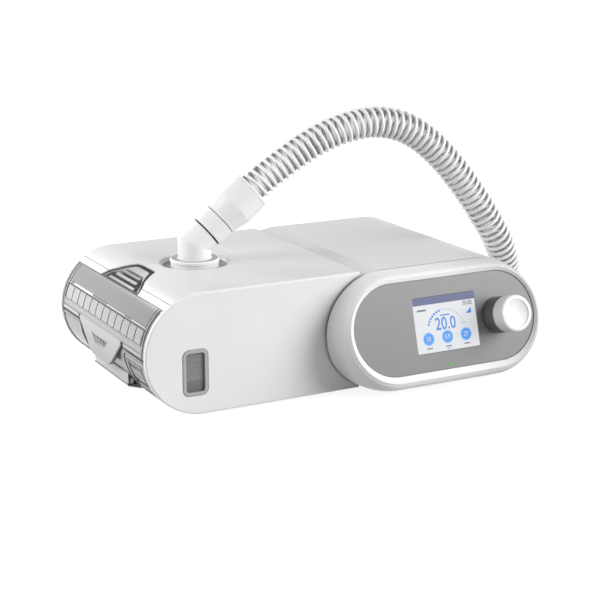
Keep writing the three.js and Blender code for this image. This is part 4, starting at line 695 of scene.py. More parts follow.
# The bright ones are painted highlights: near-white dashes along the slot line where light glints on the lid
LID_HIGHLIGHT_LINES = [(151.0, 152.9, 0.68, 0.94), (151.7, 152.5, 0.25, 0.48), (151.7, 152.5, 0.0, 0.17)]


def tank_section(radius, top, bottom, right):
    start = 180 - math.degrees(math.asin((top - AXIS_Z) / radius))
    end = 180 + math.degrees(math.asin((AXIS_Z - bottom) / radius))
    return arc(0, AXIS_Z, radius, start, end, 48) + [(right, bottom), (right, top)]


def build_tank_lid():
    wall, right, radius, port = TANK["wall"], TANK["right"], TANK["shell"], TANK["port"]
    body = prism("lid_shell", tank_section(radius, LID_TOP, AXIS_Z, right), FRONT_Y, BACK_Y, on_front, 0.4, 2)
    inner = tank_section(radius - wall, LID_TOP - wall, AXIS_Z - OVERRUN, right - wall)
    carve(body, [prism("lid_inside", inner, FRONT_Y + wall, BACK_Y - wall)])
    lugs = [POCKET_Y[0] - HINGE["lug"], POCKET_Y[1] + HINGE["lug"]]
    deep, pocket_z = HINGE["pocket_deep"], AXIS_Z + HINGE["pocket_top"]
    behind = box_mesh("behind_clip", (wall - END_R, lugs[0], AXIS_Z),
                      (HINGE_X + deep + wall, lugs[1], pocket_z + wall))
    carve(body, [behind], "UNION")
    carve(body, [
        box_mesh("pocket", (-END_R - OVERRUN, POCKET_Y[0], AXIS_Z - OVERRUN),
                 (deep - END_R, POCKET_Y[1], pocket_z)),
        rod("pin_hole", HINGE["pin"], *lugs, on_front, HINGE_AT, 24),
        rod("outlet_port", port, LID_TOP - wall - OVERRUN, LID_TOP + OVERRUN, on_top, OUTLET_AT, 48),
        rod("inlet_port", port, right - wall - OVERRUN, right + OVERRUN, on_side, INLET_AT, 48),
    ])
    dress_tank(body, SMOKE_DARK, "tank_lid")
    build_lid_lines(radius - 0.3, TANK["line"])


def build_lid_lines(shell, line):
    """The panel, tiles and raised lines of the lid's round end."""
    margin, gap, count = RIBS["margin"], RIBS["gap"], RIBS["count"]
    span = BACK_Y - FRONT_Y - 2 * margin
    pitch = span / count
    panel = band("lid_panel", shell, line, *LID_BANDS["panel"], FRONT_Y + margin, BACK_Y - margin,
                 edge=0.12)
    dress_tank(panel, SMOKE_PANEL)
    dress_tank(band("lid_seam", shell, line, *LID_BANDS["seam"], FRONT_Y, BACK_Y, 4), BLACK)
    tiles = []
    for i in range(count):
        y = FRONT_Y + margin + pitch * i
        tiles.append(band("tile", shell, line, RIBS["start"], RIBS["end"], y + gap / 2, y + pitch - gap / 2,
                          10, 0.2))
    dress_tank(merged("lid_tiles", tiles), SMOKE_LIGHT)
    light = [band("line", shell, line, start, end, FRONT_Y + 4 + (span + 6) * low,
                  FRONT_Y + 4 + (span + 6) * high, 3)
             for start, end, low, high in LID_LINES_LIGHT]
    light += [band("end_line", shell, line, *LID_BANDS["ends"], y, y + 0.9, 40)
              for y in (FRONT_Y + 0.1, FRONT_Y + 3.6, BACK_Y - 4.5, BACK_Y - 1.3)]
    light += [band("panel_end", shell, line - 0.12, *LID_BANDS["panel_ends"], y + 0.9, y + 2)
              for y in (FRONT_Y + 4.2, BACK_Y - 6.2)]
    light += [band("waist", shell, line, *LID_BANDS["waist"], low, high, 4, 0.15)
              for low, high in ((FRONT_Y + 4.5, POCKET_Y[0] - 3.5), (POCKET_Y[1] + 3.5, BACK_Y - 4.5))]
    light.append(band("waist_top", shell, line - 0.1, *LID_BANDS["waist_top"], FRONT_Y + 5, BACK_Y - 5, 4))
    dress_tank(merged("lid_light_lines", light), SMOKE_LIGHT)
    waist = band("waist_band", shell, TANK["shell"] + 0.2, *LID_BANDS["waist_band"], FRONT_Y + 4.6,
                 BACK_Y - 4.6, 6)
    dress_tank(merged("lid_waist", [waist]), SMOKE_MID)
    # Near-white dashes beside the slot line: painted highlights
    near = FRONT_Y + margin
    bright = [band("bright", shell, line + LINE_PROUD, start, end, near + span * low, near + span * high, 3,
                   0.1)
              for start, end, low, high in LID_HIGHLIGHT_LINES]
    dress_tank(merged("lid_painted_highlights", bright), SMOKE_HIGHLIGHT)


def wrapped(name, outline, inner, outer):
    """A plate on the tank's round end between two radii, with its outline given in y and z."""
    plate = band(name, inner, outer, 180, 235, count=40)
    return carve(plate, [prism("outline", outline, -END_R - OVERRUN, -END_R / 3, on_side)], "INTERSECT")


def hollowed(name, outline, width, inner, outer):
    """A frame of that width along the inside of an outline, on the round end."""
    ring = wrapped(name, outline, inner, outer)
    return carve(ring, [prism("inside", inset(outline, width), -END_R - OVERRUN, -END_R / 3, on_side)])


def build_tank_base():
    wall, right, radius = TANK["wall"], TANK["right"], END_R - 1.0
    body = prism("base_shell", tank_section(radius, BASE_TOP, BASE_BOTTOM, right), FRONT_Y, BACK_Y, on_front,
                 0.4, 2)
    inner = tank_section(radius - wall, BASE_TOP + OVERRUN, BASE_BOTTOM + wall, right - wall)
    carve(body, [
        prism("base_inside", inner, FRONT_Y + wall, BACK_Y - wall),
        rod("plate_hole", TANK["plate_hole"], BASE_BOTTOM - OVERRUN, BASE_BOTTOM + wall + OVERRUN, on_top,
            HEATER_AT),
    ])
    dress_tank(body, SMOKE_DARK, "tank_base")

    skin, line = radius - 0.3, END_R - 0.12
    low, top = AXIS_Z - 29.5, AXIS_Z - 2.2
    far = rounded_box(POCKET_Y[1] + 1.4, BACK_Y - 1.0, low, top, 5, 8)
    near = rounded_box(FRONT_Y + 1.0, POCKET_Y[0] - 1.4, low, top, 5, 8)
    light = [hollowed("far_frame", far, 0.8, skin, line), hollowed("near_frame", near, 0.8, skin, line),
             hollowed("near_step", inset(near, 5.2), 0.7, skin, radius + 0.4),
             hollowed("near_inner", inset(near, 8.2), 0.5, skin, radius + 0.25)]
    light += [wrapped("near_bar", rect(FRONT_Y + 10.5, z, POCKET_Y[0] - 12, z + 0.6), skin, radius + 0.3)
              for z in (AXIS_Z - 12.5, AXIS_Z - 17.5)]
    light += [band("end_rail", skin, line, 183, 228, y, y + 0.8, 30) for y in (FRONT_Y + 0.1, BACK_Y - 0.9)]
    dress_tank(merged("base_light_lines", light), SMOKE_LIGHT)
    panels = [wrapped("far_panel", inset(far, 2.0), skin, radius + 0.25),
              hollowed("near_panel", inset(near, 2.0), 2.4, skin, radius + 0.25)]
    dress_tank(merged("base_panels", panels), SMOKE_MID)
    build_ledge(radius)


def build_ledge(radius):
    """The clear finger ledge under the clip."""
    e, wall = LEDGE, LEDGE["wall"]
    slope = math.radians(e["root"])
    front, low, top = -e["x"], AXIS_Z - e["bottom"], AXIS_Z - e["top"]
    back, drop = -e["foot_x"], AXIS_Z - e["foot_drop"]
    y0, y1 = MID_Y - e["half"], MID_Y + e["half"]
    section = [(front, top), (front, low), (back, drop), (back, BASE_BOTTOM + TANK["wall"] / 2),
               (-END_R * math.cos(slope), AXIS_Z - END_R * math.sin(slope) + TANK["wall"]),
               (wall - e["x"], top + wall / 2)]
    hollow = [(wall - e["x"], top - wall), (wall - e["x"], low + wall / 2), (back - wall, drop + 2 * wall)]
    inner = tank_section(radius - 0.2, BASE_TOP, BASE_BOTTOM, TANK["right"])
    body = prism("finger_ledge", section, y0, y1, on_front, 0.3, 2)
    tools = [prism(name, outline, y0 - OVERRUN, y1 + OVERRUN)
             for name, outline in (("hollow", hollow), ("round", inner))]
    dress_tank(carve(body, tools), SMOKE_LIGHT)

    def end_strip(name, first, last):
        strip = [(front, low + first), (back, drop + first), (back, drop + last), (front, low + last)]
        return prism(name, strip, y0 - 0.12, y0 + 0.6)

    # Near-white lips along the ledge's edges: painted highlights
    lips = [box_mesh("lip", (front - 0.25, y0 - 0.1, low - 0.1), (front + 0.6, y1 + 0.1, low + 0.7), on_top,
                     0.2),
            end_strip("end_lip", -0.05, 0.75)]
    dress_tank(merged("ledge_lip", lips), SMOKE_HIGHLIGHT)
    lines = [box_mesh("low_line", (front - 0.1, y0 - 0.12, low + 0.7), (front + 0.6, y1 + 0.12, low + 1.6)),
             box_mesh("post_line", (front + 0.5, y0 - 0.12, low + 0.9), (front + 1.7, y0 + 0.6, low + 8.6)),
             end_strip("floor_line", 0.75, 2.1)]
    dress_tank(merged("ledge_lines", lines), SMOKE_DARK)
    # A pale strip seen inside the clear ledge: painted highlight
    inside = box_mesh("ledge_inside", (front + wall + 0.1, y0 + 0.5, low + 1.5),
                      (front + wall + 2.2, y1 - 0.5, low + 5.4), on_top, 0.3)
    dress_tank(inside, SMOKE_HIGHLIGHT)


GRIP = {"inset": 0.9, "sink": 0.8, "from": 110.0, "to": 129.0, "deep": 3.0, "rim": 4.2, "floor": 1.0}
# Bars of the grip: angle in degrees, half length, and half width in degrees
GRIP_BARS = [(126.8, 22.6, 1.2), (120.6, 18.6, 1.6), (114.4, 15.6, 1.5)]
GRIP_SPLIT = 121


def grip_prism(name, grow, low):
    return prism(name, notch_outline(grow), low, TOP_Z, on_top)


def build_grip():
    """The finger grip in the cover's notch, with its scoop and bars."""
    g, top, above = GRIP, END_R - GRIP["sink"], CEILING_Z + GAP
    floor, scooped = top - g["deep"], -g["inset"] - g["rim"]
    hump = grip_prism("tank_grip_hump", -g["inset"], above)
    carve(hump, [band("dome", 1, top, 90, 131, count=40)], "INTERSECT")
    scoop = grip_prism("scoop", scooped, above + g["floor"])
    carve(scoop, [band("scoop_round", floor, END_R, g["from"], g["to"])], "INTERSECT")
    dress_tank(carve(hump, [scoop]), GRIP_GREY_HIGHLIGHT, "tank_grip")
    # The grip's floor in near-black: painted shade in the scoop
    trough = grip_prism("grip_floor", scooped - 0.2, CEILING_Z)
    hollow = band("hollow_round", floor - 0.6, floor + 0.15, g["from"] + 1, GRIP_SPLIT)
    skin = band("skin_round", floor - 0.6, top + 0.1, GRIP_SPLIT, 128.6, count=12)
    carve(trough, [carve(hollow, [skin], "UNION")], "INTERSECT")
    dress_tank(trough, GRIP_SHADE_BLACK)
    bars = [band("bar", floor, top + 0.35, angle - width, angle + width, MID_Y - half, MID_Y + half, 3, 0.3)
            for angle, half, width in GRIP_BARS]
    dress_tank(merged("grip_bars", bars), GRIP_BAR_GREY)
    # A near-black edge round the notch: painted shade
    edge = grip_prism("grip_edge", -g["inset"] + 0.3, above)
    inner = [(u - 1.1, v) for u, v in notch_outline(-g["inset"] - 1.7)]
    inside = prism("edge_inside", inner, CEILING_Z - OVERRUN, TOP_Z + OVERRUN, on_top)
    dome = band("edge_dome", floor, top + 0.15, 90, 130, count=40)
    dress_tank(carve(carve(edge, [dome], "INTERSECT"), [inside]), GRIP_SHADE_BLACK)


CLIP_MARK = {"top_half": 16.0, "low_half": 8.0, "top": 3.8, "bottom": 10.2, "deep": 0.5, "wall": 0.9,
             "ribs": 5, "pitch": 3.3}


def build_clip():
    c, m = CLIP, CLIP_MARK
    low_z, mark_low, mark_top = AXIS_Z - c["low_drop"], AXIS_Z - m["bottom"], AXIS_Z - m["top"]
    half = [(c["top"], HINGE_Z + 0.6), (c["top"], AXIS_Z), (c["mid"], AXIS_Z - c["mid_drop"])]
    half += curve3(half[-1], (c["low"] + c["round"], low_z), (c["low"], low_z), 8)
    outline = [(MID_Y + u, v) for u, v in reversed(half)] + [(MID_Y - u, v) for u, v in half]
    outer = -END_R - c["proud"]
    sunk = outer + m["deep"]

    def above(drop):
        return box_mesh("above", (outer - 1, 0, AXIS_Z - drop), (0, DEPTH, TOP_Z))

    tab = prism("clip_tab", outline, outer, outer + c["thick"], on_side, 0.5, 3)
    carve(tab, [carve(band("round_cut", 1, END_R - 0.7, 90, 270, count=96), [above(0)])])
    carve(tab, [rod("barrel", 1.7, MID_Y - c["top"], MID_Y + c["top"], on_front, HINGE_AT, 32)], "UNION")
    mark = [(MID_Y - m["low_half"], mark_low), (MID_Y + m["low_half"], mark_low),
            (MID_Y + m["top_half"], mark_top), (MID_Y - m["top_half"], mark_top)]
    pin_bore = rod("pin_bore", HINGE["pin"], 0, DEPTH, on_front, HINGE_AT, 24)
    carve(tab, [prism("mark", mark, outer - OVERRUN, sunk, on_side), pin_bore])
    dress_clip(tab, CLIP_SHADED_GREY, "lid_clip")
    dress_clip(prism("clip_mark", inset(mark, m["wall"]), sunk - 0.1, sunk + 0.05, on_side), SMOKE_DARK)
    # A dark rim round the clip's tab, behind its face: painted shadow in the gap round the tab
    rim = prism("clip_painted_shadow", inset(outline, -0.35), outer + 1.0, outer + c["thick"], on_side)
    dress_clip(carve(rim, [band("rim_cut", 1, END_R - 0.5, 90, 270, count=96), above(0.5)]), DARK_GREY)
    ribs = []
    for i in range(m["ribs"]):
        y = MID_Y + (i - (m["ribs"] - 1) / 2) * m["pitch"]
        ribs.append(box_mesh("rib", (sunk - 0.45, y - 0.6, mark_low + 1.7),
                             (sunk + 0.05, y + 0.6, mark_top - 1.7),
                             on_top, 0.12))
    dress_clip(merged("clip_ribs", ribs), SMOKE_LIGHT)


# Elbow, sleeve and cuff
LEG_AZIMUTH = math.radians(-8)
LEG_CLIMB = math.radians(40)
LEG = Vector((math.cos(LEG_CLIMB) * math.cos(LEG_AZIMUTH), math.cos(LEG_CLIMB) * math.sin(LEG_AZIMUTH),
              math.sin(LEG_CLIMB)))
LEG_SIDE = Vector((-LEG.y, LEG.x, 0)).normalized()
LEG_THIRD = LEG.cross(LEG_SIDE)
MITRE = Vector((OUTLET["x"], OUTLET["y"], TOP_Z + 13.6))
ELBOW = {"radius": 12.0, "bore": 9.4, "leg": 11.4, "spigot": 10.0, "spigot_radius": 10.6}
COLLAR = {"radius": 17.2, "lip": 0.5, "lip_height": 2.2, "height": 7.0}
SLEEVE = {"start": 12.8, "end": 13.3, "length": 12.9}
CUFF = {"neck": 13.3, "wide": 15.6, "end": 15.0, "cone": 13.2, "length": 31.4, "socket": 9.0, "bore": 8.6}
CUFF_LOW = ELBOW["leg"] + SLEEVE["length"] + 2 * GAP


def on_leg(u, v, w):
    return world(*(MITRE + LEG_SIDE * u + LEG_THIRD * v + LEG * w))


def build_elbow():
    """The elbow in the outlet's dish, its sleeve and the hose's cuff."""
    e, c, reach, overlap, past = ELBOW, COLLAR, 60, 0.08, 15
    bore, radius, end, wide = e["bore"], e["radius"], e["leg"], c["radius"]
    low = TOP_Z - OUTLET["depth"] + GAP
    top = low + c["height"]
    lip = top - c["lip_height"]
    collar = [(0, low), (wide - 0.3, low), (wide, low + 0.3), (wide, lip - 0.6), (wide - 0.5, lip - 0.5),
              (wide - 0.5, lip), (wide + c["lip"], lip + 0.1), (wide + c["lip"], top - 0.5), (wide, top),
              (0, top)]
    normal = (Vector((0, 0, 1)) + LEG).normalized()
    across = normal.orthogonal().normalized()
    third = normal.cross(across)

    def on_cut(u, v, w):
        return world(*(MITRE + across * u + third * v + normal * w))

    def mitred(pipe, low, high):
        """Keeps the part of a pipe between two heights over the mitre's plane."""
        return carve(pipe, [prism("mitre", rect(-reach, -reach, reach, reach), low, high, on_cut)],
                     "INTERSECT")

    upright = rod("upright", radius, top - 0.5, MITRE.z + past, on_top, OUTLET_AT, 96)
    leg = turned("leg", [(0, -past), (radius, -past), (radius, end - 0.4), (radius - 0.4, end), (0, end)],
                 on_leg, (0, 0), 96)
    spigot = rod("spigot", e["spigot_radius"], end - 2, end + e["spigot"], on_leg)
    bore_up = rod("bore_up", bore, low - 3, MITRE.z + past, on_top, OUTLET_AT)
    bore_leg = rod("bore_leg", bore, -past, end + e["spigot"] + 3, on_leg)
    pipe = turned("elbow_pipe", collar, on_top, OUTLET_AT, 96)
    carve(pipe, [mitred(upright, -reach, overlap), mitred(leg, -overlap, reach), spigot], "UNION")
    carve(pipe, [mitred(bore_up, -reach, overlap), mitred(bore_leg, -overlap, reach)])
    dress_elbow(pipe, CUFF_WHITE, "elbow", angle=8)

    s, start, inner = SLEEVE, end + 0.9, e["spigot_radius"] + GAP
    stop = start + s["length"] - 0.9
    sleeve = [(inner, start), (s["start"] - 0.3, start), (s["start"], start + 0.3),
              (s["end"], start + s["length"] - 1.2), (s["end"] - 0.3, stop), (inner, stop)]
    dress_elbow(tube("sleeve", sleeve, on_leg), CUFF_WHITE, "elbow_sleeve")
    joint = tube("elbow_joint", rect(bore + 0.1, end - 0.6, radius - 0.1, start + 0.1), on_leg)
    dress_elbow(joint, BLACK)
    # A flat dark ring on the collar's top face: painted shade
    collar_shade = tube("collar_painted_shade", rect(radius + 0.5, top - 0.2, wide - 0.7, top + 0.03), on_top, OUTLET_AT)
    dress_elbow(collar_shade, DISH_SHADE_GREY)
    build_cuff()


def build_cuff():
    k, low = CUFF, CUFF_LOW
    bore, neck, wide, mouth = k["bore"], k["neck"], k["wide"], k["end"]
    end, knee = low + k["length"], low + k["cone"]
    socket, seat = HOSE["radius"] + GAP, end - k["socket"]
    cuff = [(bore, low), (neck - 0.5, low), (neck, low + 0.5), (neck + 0.25, low + 3.2),
            (wide - 0.08, knee - 0.15), (wide, knee + 0.15), (mouth + 0.05, end - 2.6),
            (mouth - 0.3, end - 2.3), (mouth - 0.3, end - 2.0), (mouth, end - 1.8), (mouth - 0.1, end - 0.8),
            (mouth - 0.5, end - 0.3), (mouth - 1.4, end), (socket, end), (socket, seat), (bore, seat)]
    dress_elbow(tube("hose_end_cuff", cuff, on_leg), CUFF_WHITE, "hose_cuff", angle=8)


# Main unit
MAIN = {"wall": 2.5, "edge": 2.4, "split": 0.15, "gasket": 1.5, "band_sink": 0.3, "band_proud": 0.02}


def tip_z(radius):
    """The height at which the flat slope meets a round end of that radius."""
    return AXIS_Z + math.sqrt(radius ** 2 - HOUSING["tip"] ** 2)


def sloped_outline(shrink):
    """The main unit's outline with the flat slope that runs down to the housing's deck."""
    radius = END_R - shrink
    outline = stadium(MAIN_MID, AXIS_Z, MAIN_HALF - shrink, radius, 64)
    outline = [p for p in outline if not (TIP_X - 0.5 < p[0] < MAIN_LEFT - 0.01 and p[1] > AXIS_Z)]
    place = next(i for i, p in enumerate(outline) if p[0] < TIP_X)
    outline.insert(place, (TIP_X, tip_z(radius)))
    return outline


def main_inside(shrink, high):
    return prism("inside", stadium(MAIN_MID, AXIS_Z, MAIN_HALF - shrink, END_R - shrink, 48),
                 SHELL_FRONT - OVERRUN, high)


def build_main_shell(name, node, outline, low, high, material):
    body = prism(name, outline, SHELL_FRONT, DEPTH, on_front, MAIN["edge"], 5)
    keep = box_mesh("keep", (MAIN_MID - MAIN_HALF - OVERRUN, SHELL_FRONT - OVERRUN, low),
                    (MAIN_MID + MAIN_HALF + OVERRUN, DEPTH + OVERRUN, high))
    carve(carve(body, [main_inside(MAIN["wall"], DEPTH + OVERRUN)]), [keep], "INTERSECT")
    dress(body, material, "base", [node])
    ridge = world(MAIN_LEFT, 0, 0).x
    for edge in body.data.edges:
        ends = [body.data.vertices[i].co for i in edge.vertices]
        if all(abs(p.x - ridge) < 0.1 * MM and p.z > AXIS_Z * MM for p in ends):
            edge.use_edge_sharp = True


def build_main_shells():
    split = MAIN["split"]
    build_main_shell("upper_case", "main_upper_shell", sloped_outline(0), AXIS_Z + split, TOP_Z + OVERRUN,
                     TOP_GREY_PARTLY_SHADED)
    build_main_shell("lower_case", "main_lower_shell", stadium(MAIN_MID, AXIS_Z, MAIN_HALF, END_R, 64),
                     FOOT_Z - OVERRUN, AXIS_Z - split, WHITE)
    # A band on the flat slope, a little lighter than the top: painted light
    low, sink, proud = tip_z(END_R), MAIN["band_sink"], MAIN["band_proud"]
    slope = [(TIP_X, low - sink), (MAIN_LEFT, TOP_Z - sink), (MAIN_LEFT, TOP_Z + proud), (TIP_X, low + proud)]
    dress(prism("slope_band", slope, SHELL_FRONT + 2, DEPTH - 2), SLOPE_LIT_GREY, "base")
    gasket = prism("console_gasket", sloped_outline(0.2), SHELL_FRONT, SHELL_FRONT + MAIN["gasket"])
    carve(gasket, [main_inside(MAIN["gasket"], SHELL_FRONT + OVERRUN)])
    dress(gasket, DARK_GREY, "base")


# Console: bezel, plate, screen, knob and lamp
RING = {"centre": 3.95, "half_height": 37.15, "half_width": 78.35, "wall": 2.4}
PLATE = {"centre": 4.74, "half_height": 32.13, "half_width": 74.65, "thick": 1.6, "sink": 0.7}
SCREEN = {"centre": 4.8, "width": 51.3, "height": 38.9, "thick": 1.4, "sink": 0.1}
KNOB = {"across": 43.2, "up": 4.9, "radius": 13.0, "collar": 11.6, "cap_low": 12.9, "cap_top": 24.0,
        "wall": 1.8, "bore": 4.9, "shaft": 3.3}
LAMP = {"down": 24.7, "radius": 1.0}
# The ring's crown, from its outer edge to the plate: how far in it lies and how far it stands out
RING_CROWN = ((0.15, 0.35), (0.45, 0.65), (0.9, 0.8), (1.35, 0.78), (1.7, 0.6))
KNOB_AT = (KNOB["across"], KNOB["up"])
LAMP_AT = (0, -LAMP["down"])


def build_console():
    build_ring()
    plate, thick, high = PLATE, PLATE["thick"], -PLATE["sink"]
    outline = stadium(0, plate["centre"], plate["half_width"], plate["half_height"], 64)
    body = prism("console_plate", outline, high - thick, high, on_face, 0.25, 2)
    screen_hole = prism("screen_hole", screen_outline(GAP), high - thick - OVERRUN, high + OVERRUN, on_face)
    carve(body, [screen_hole, rod("knob_hole", KNOB["bore"], high - 4, high + 2, on_face, KNOB_AT),
                 rod("lamp_hole", LAMP["radius"] + GAP, high - 4, high + 2, on_face, LAMP_AT, 32)])
    dress(body, PLATE_SHADED_GREY, "base", ["face_plate"])
    build_screen()
    build_knob(high)
    lens = [(0, high - 3), (LAMP["radius"], high - 3), (LAMP["radius"], high), (0.7, high + 0.35),
            (0, high + 0.45)]
    dress(turned("lamp", lens, on_face, LAMP_AT, 32), GREEN_LIGHT, "base", ["light_pipe"])


def build_ring():
    """The hollow bezel, from the upright main unit to the tilted face, with its crown round the plate."""
    ring, plate, back_y, steps = RING, PLATE, SHELL_FRONT - GAP, 16
    sill = -plate["sink"] - plate["thick"] - GAP

    def face(part, shrink, lift):
        return [on_face(u, v, lift) for u, v in stadium(
            0, part["centre"], part["half_width"] - shrink, part["half_height"] - shrink, 48)]

    def back(shrink):
        return [world(u, back_y, v)
                for u, v in stadium(MAIN_MID, AXIS_Z, MAIN_HALF - shrink, END_R - shrink, 48)]

    def between(first, last, angle):
        slow, fast = 1 - math.cos(angle), math.sin(angle)
        return [Vector((a.x + (b.x - a.x) * slow, a.y + (b.y - a.y) * fast, a.z + (b.z - a.z) * slow))
                for a, b in zip(first, last)]

    outside = back(0), face(ring, 0, 0)
    rings = [between(*outside, math.pi / 2 * i / steps) for i in range(steps + 1)]
    rings += [face(ring, shrink, lift) for shrink, lift in RING_CROWN]
    rings += [face(plate, -GAP, -0.1), face(plate, -GAP, sill), face(plate, 1, sill),
              face(plate, 1, sill - ring["wall"])]
    inside = back(ring["wall"]), face(ring, ring["wall"], sill - ring["wall"])
    rings += [between(*inside, math.pi / 2 * i / steps) for i in range(steps - 2, -1, -2)]
    dress(loft("console_ring", rings, True), RING_WHITE_SHADED_RIGHT, "base", ["console_bezel"], 40)


def glowing(name, color, drift=0.03):
    """A lit part of the display: its colour is the light it gives."""
    material, nodes, links, principled = shader(name, shade(color, 0.25), 0.4, 0.0, 0.2)
    tone = mottled(nodes, links, noise(nodes, links, 2600, 1), color, 1 - drift, 1 + drift, (0.35, 0.65))
    links.new(tone, principled.inputs["Emission Color"])
    principled.inputs["Emission Strength"].default_value = 0.75
    return material


SCREEN_PALE = glowing("screen_pale", (0.75, 0.76, 0.79), 0.01)
SCREEN_BAR = glowing("screen_bar", (0.135, 0.155, 0.28))
SCREEN_BLUE = glowing("screen_blue", (0.06, 0.25, 0.72))
SCREEN_SOFT = glowing("screen_soft", (0.11, 0.34, 0.84))
SCREEN_HALO = glowing("screen_halo", (0.42, 0.66, 0.92))
SCREEN_GREY = glowing("screen_grey", (0.45, 0.52, 0.66))
SCREEN_INK = glowing("screen_ink", (0.16, 0.16, 0.18))
GREEN_LIGHT = glowing("light_green", (0.12, 0.72, 0.06))
GAUGE = {"u": -0.5, "v": -5.7, "radius": 15.3, "dots": 17, "lit": 7, "from": 157.0, "to": 23.0, "dot": 0.62,
         "lit_dot": 0.85}
DIALS = [(-16.0, "33"), (-0.4, "5.9"), (15.1, "27")]
DIAL = {"v": -9.8, "radius": 4.2, "halo": 4.9, "label": -16.4}


def lettering(name, words, u, v, height, narrow=1.0, bold=0.0):
    """Digits from the built-in font, centred at u and v on the face."""
    curve = bpy.data.curves.new(name, "FONT")
    curve.body = words
    curve.size = height
    curve.align_x = "CENTER"
    curve.align_y = "CENTER"
    curve.extrude = 0.02
    curve.offset = bold
    curve.resolution_u = 4
    source = new_object(name, curve)
    bpy.context.view_layer.update()
    mesh = bpy.data.meshes.new_from_object(source.evaluated_get(bpy.context.evaluated_depsgraph_get()))
    bpy.data.objects.remove(source)
    bpy.data.curves.remove(curve)
    for vertex in mesh.vertices:
        x, y, z = vertex.co
        vertex.co = on_face(u + x * narrow, SCREEN["centre"] + v + y, SCREEN_TOP + 0.07 + z)
    return new_object(name, mesh)


SCREEN_TOP = -PLATE["sink"] - SCREEN["sink"]


def screen_outline(grow):
    s = SCREEN
    wide, tall = s["width"] / 2, s["height"] / 2
    return rounded_box(-wide - grow, wide + grow, s["centre"] - tall - grow, s["centre"] + tall + grow, 1)


def screen_spot(name, outline, lift=0.04):
    moved = [(u, v + SCREEN["centre"]) for u, v in outline]
    return prism(name, moved, SCREEN_TOP - 0.1, SCREEN_TOP + lift, on_face)


def disc(name, u, v, radius, count=24, lift=0.04):
    return screen_spot(name, arc(u, v, radius, 0, 360 - 360 / count, count - 1), lift)


def bar(name, u, v, width, height):
    return screen_spot(name, rect(u - width / 2, v - height / 2, u + width / 2, v + height / 2))


def build_screen():
    """The lit panel with its bar, gauge of dots, dials and small marks."""
    s, g, d = SCREEN, GAUGE, DIAL
    wide, tall = s["width"] / 2, s["height"] / 2
    glass = prism("screen_panel", screen_outline(0), SCREEN_TOP - s["thick"], SCREEN_TOP, on_face)
    dress_screen(glass, SCREEN_PALE, "screen_lens")
    dress_screen(screen_spot("screen_top_bar", rect(-wide, tall - 5.2, wide, tall)), SCREEN_BAR)
    lit, rest = [], []
    for i in range(g["dots"]):
        angle = math.radians(g["from"] + (g["to"] - g["from"]) * i / (g["dots"] - 1))
        spots, size = (lit, g["lit_dot"]) if i < g["lit"] else (rest, g["dot"])
        u, v = g["u"] + g["radius"] * math.cos(angle), g["v"] + g["radius"] * math.sin(angle)
        spots.append(disc("dot", u, v, size))
    lit += [screen_spot("triangle", [(17.2, 4.5), (21.8, 4.5), (21.8, 8.4)]),
            lettering("digits", "20.0", -0.7, -0.6, 12.4, 0.82, 0.1), disc("page", -1.0, -18.1, 0.55),
            bar("heading", -0.5, 5.6, 7.6, 0.9)]
    dress_screen(merged("screen_reading", lit), SCREEN_BLUE)
    rest += [disc("other_page", 1.2, -18.1, 0.55), bar("unit", 14.0, -1.6, 5.4, 0.8)]
    dress_screen(merged("screen_gauge", rest), SCREEN_GREY)
    halos = [disc("halo", u, d["v"], d["halo"], 48, 0.03) for u, _ in DIALS]
    dress_screen(merged("screen_halos", halos), SCREEN_HALO)
    dials = [disc("dial", u, d["v"], d["radius"], 48, 0.05) for u, _ in DIALS]
    dress_screen(merged("screen_dials", dials), SCREEN_SOFT)
    numbers = [lettering("number", value, u, d["v"], 4.4, 0.85) for u, value in DIALS]
    dress_screen(merged("screen_numbers", numbers), SCREEN_PALE)
    marks = [bar("label", u, d["label"], 4.8, 0.8) for u, _ in DIALS]
    marks += [bar("mode", -19.0, 10.6, 7.4, 1.2), lettering("clock", "05:02", 19.4, 11.9, 4.2, 0.85, 0.06)]
    dress_screen(merged("screen_small_marks", marks), SCREEN_INK)


def build_knob(high):
    k = KNOB
    radius, bore, collar, low, top = k["radius"], k["bore"], k["collar"], k["cap_low"], k["cap_top"]
    skirt = [(bore, high + GAP), (radius, high + GAP), (radius, collar - 0.8), (radius - 0.8, collar),
             (bore, collar)]
    dress(tube("knob_skirt", skirt, on_face, KNOB_AT), DARK_GREY, "base", ["knob_collar"])
    inner, roof = radius - k["wall"], low + k["wall"]
    cap = [(0, top - 1.5), (4.0, top - 1.4), (7.6, top - 1.0), (9.6, top - 0.55), (9.9, top - 0.1),
           (10.2, top), (11.8, top), (12.45, top - 0.3), (12.85, top - 0.8), (radius, top - 1.5),
           (radius, low + 0.3), (radius - 0.3, low), (inner, low), (inner, roof), (k["shaft"], roof),
           (k["shaft"], top - 2.3), (0, top - 2.3)]
    dress(turned("knob_button", cap, on_face, KNOB_AT, 96), KNOB_WHITE, "knob", ["knob_cap"])


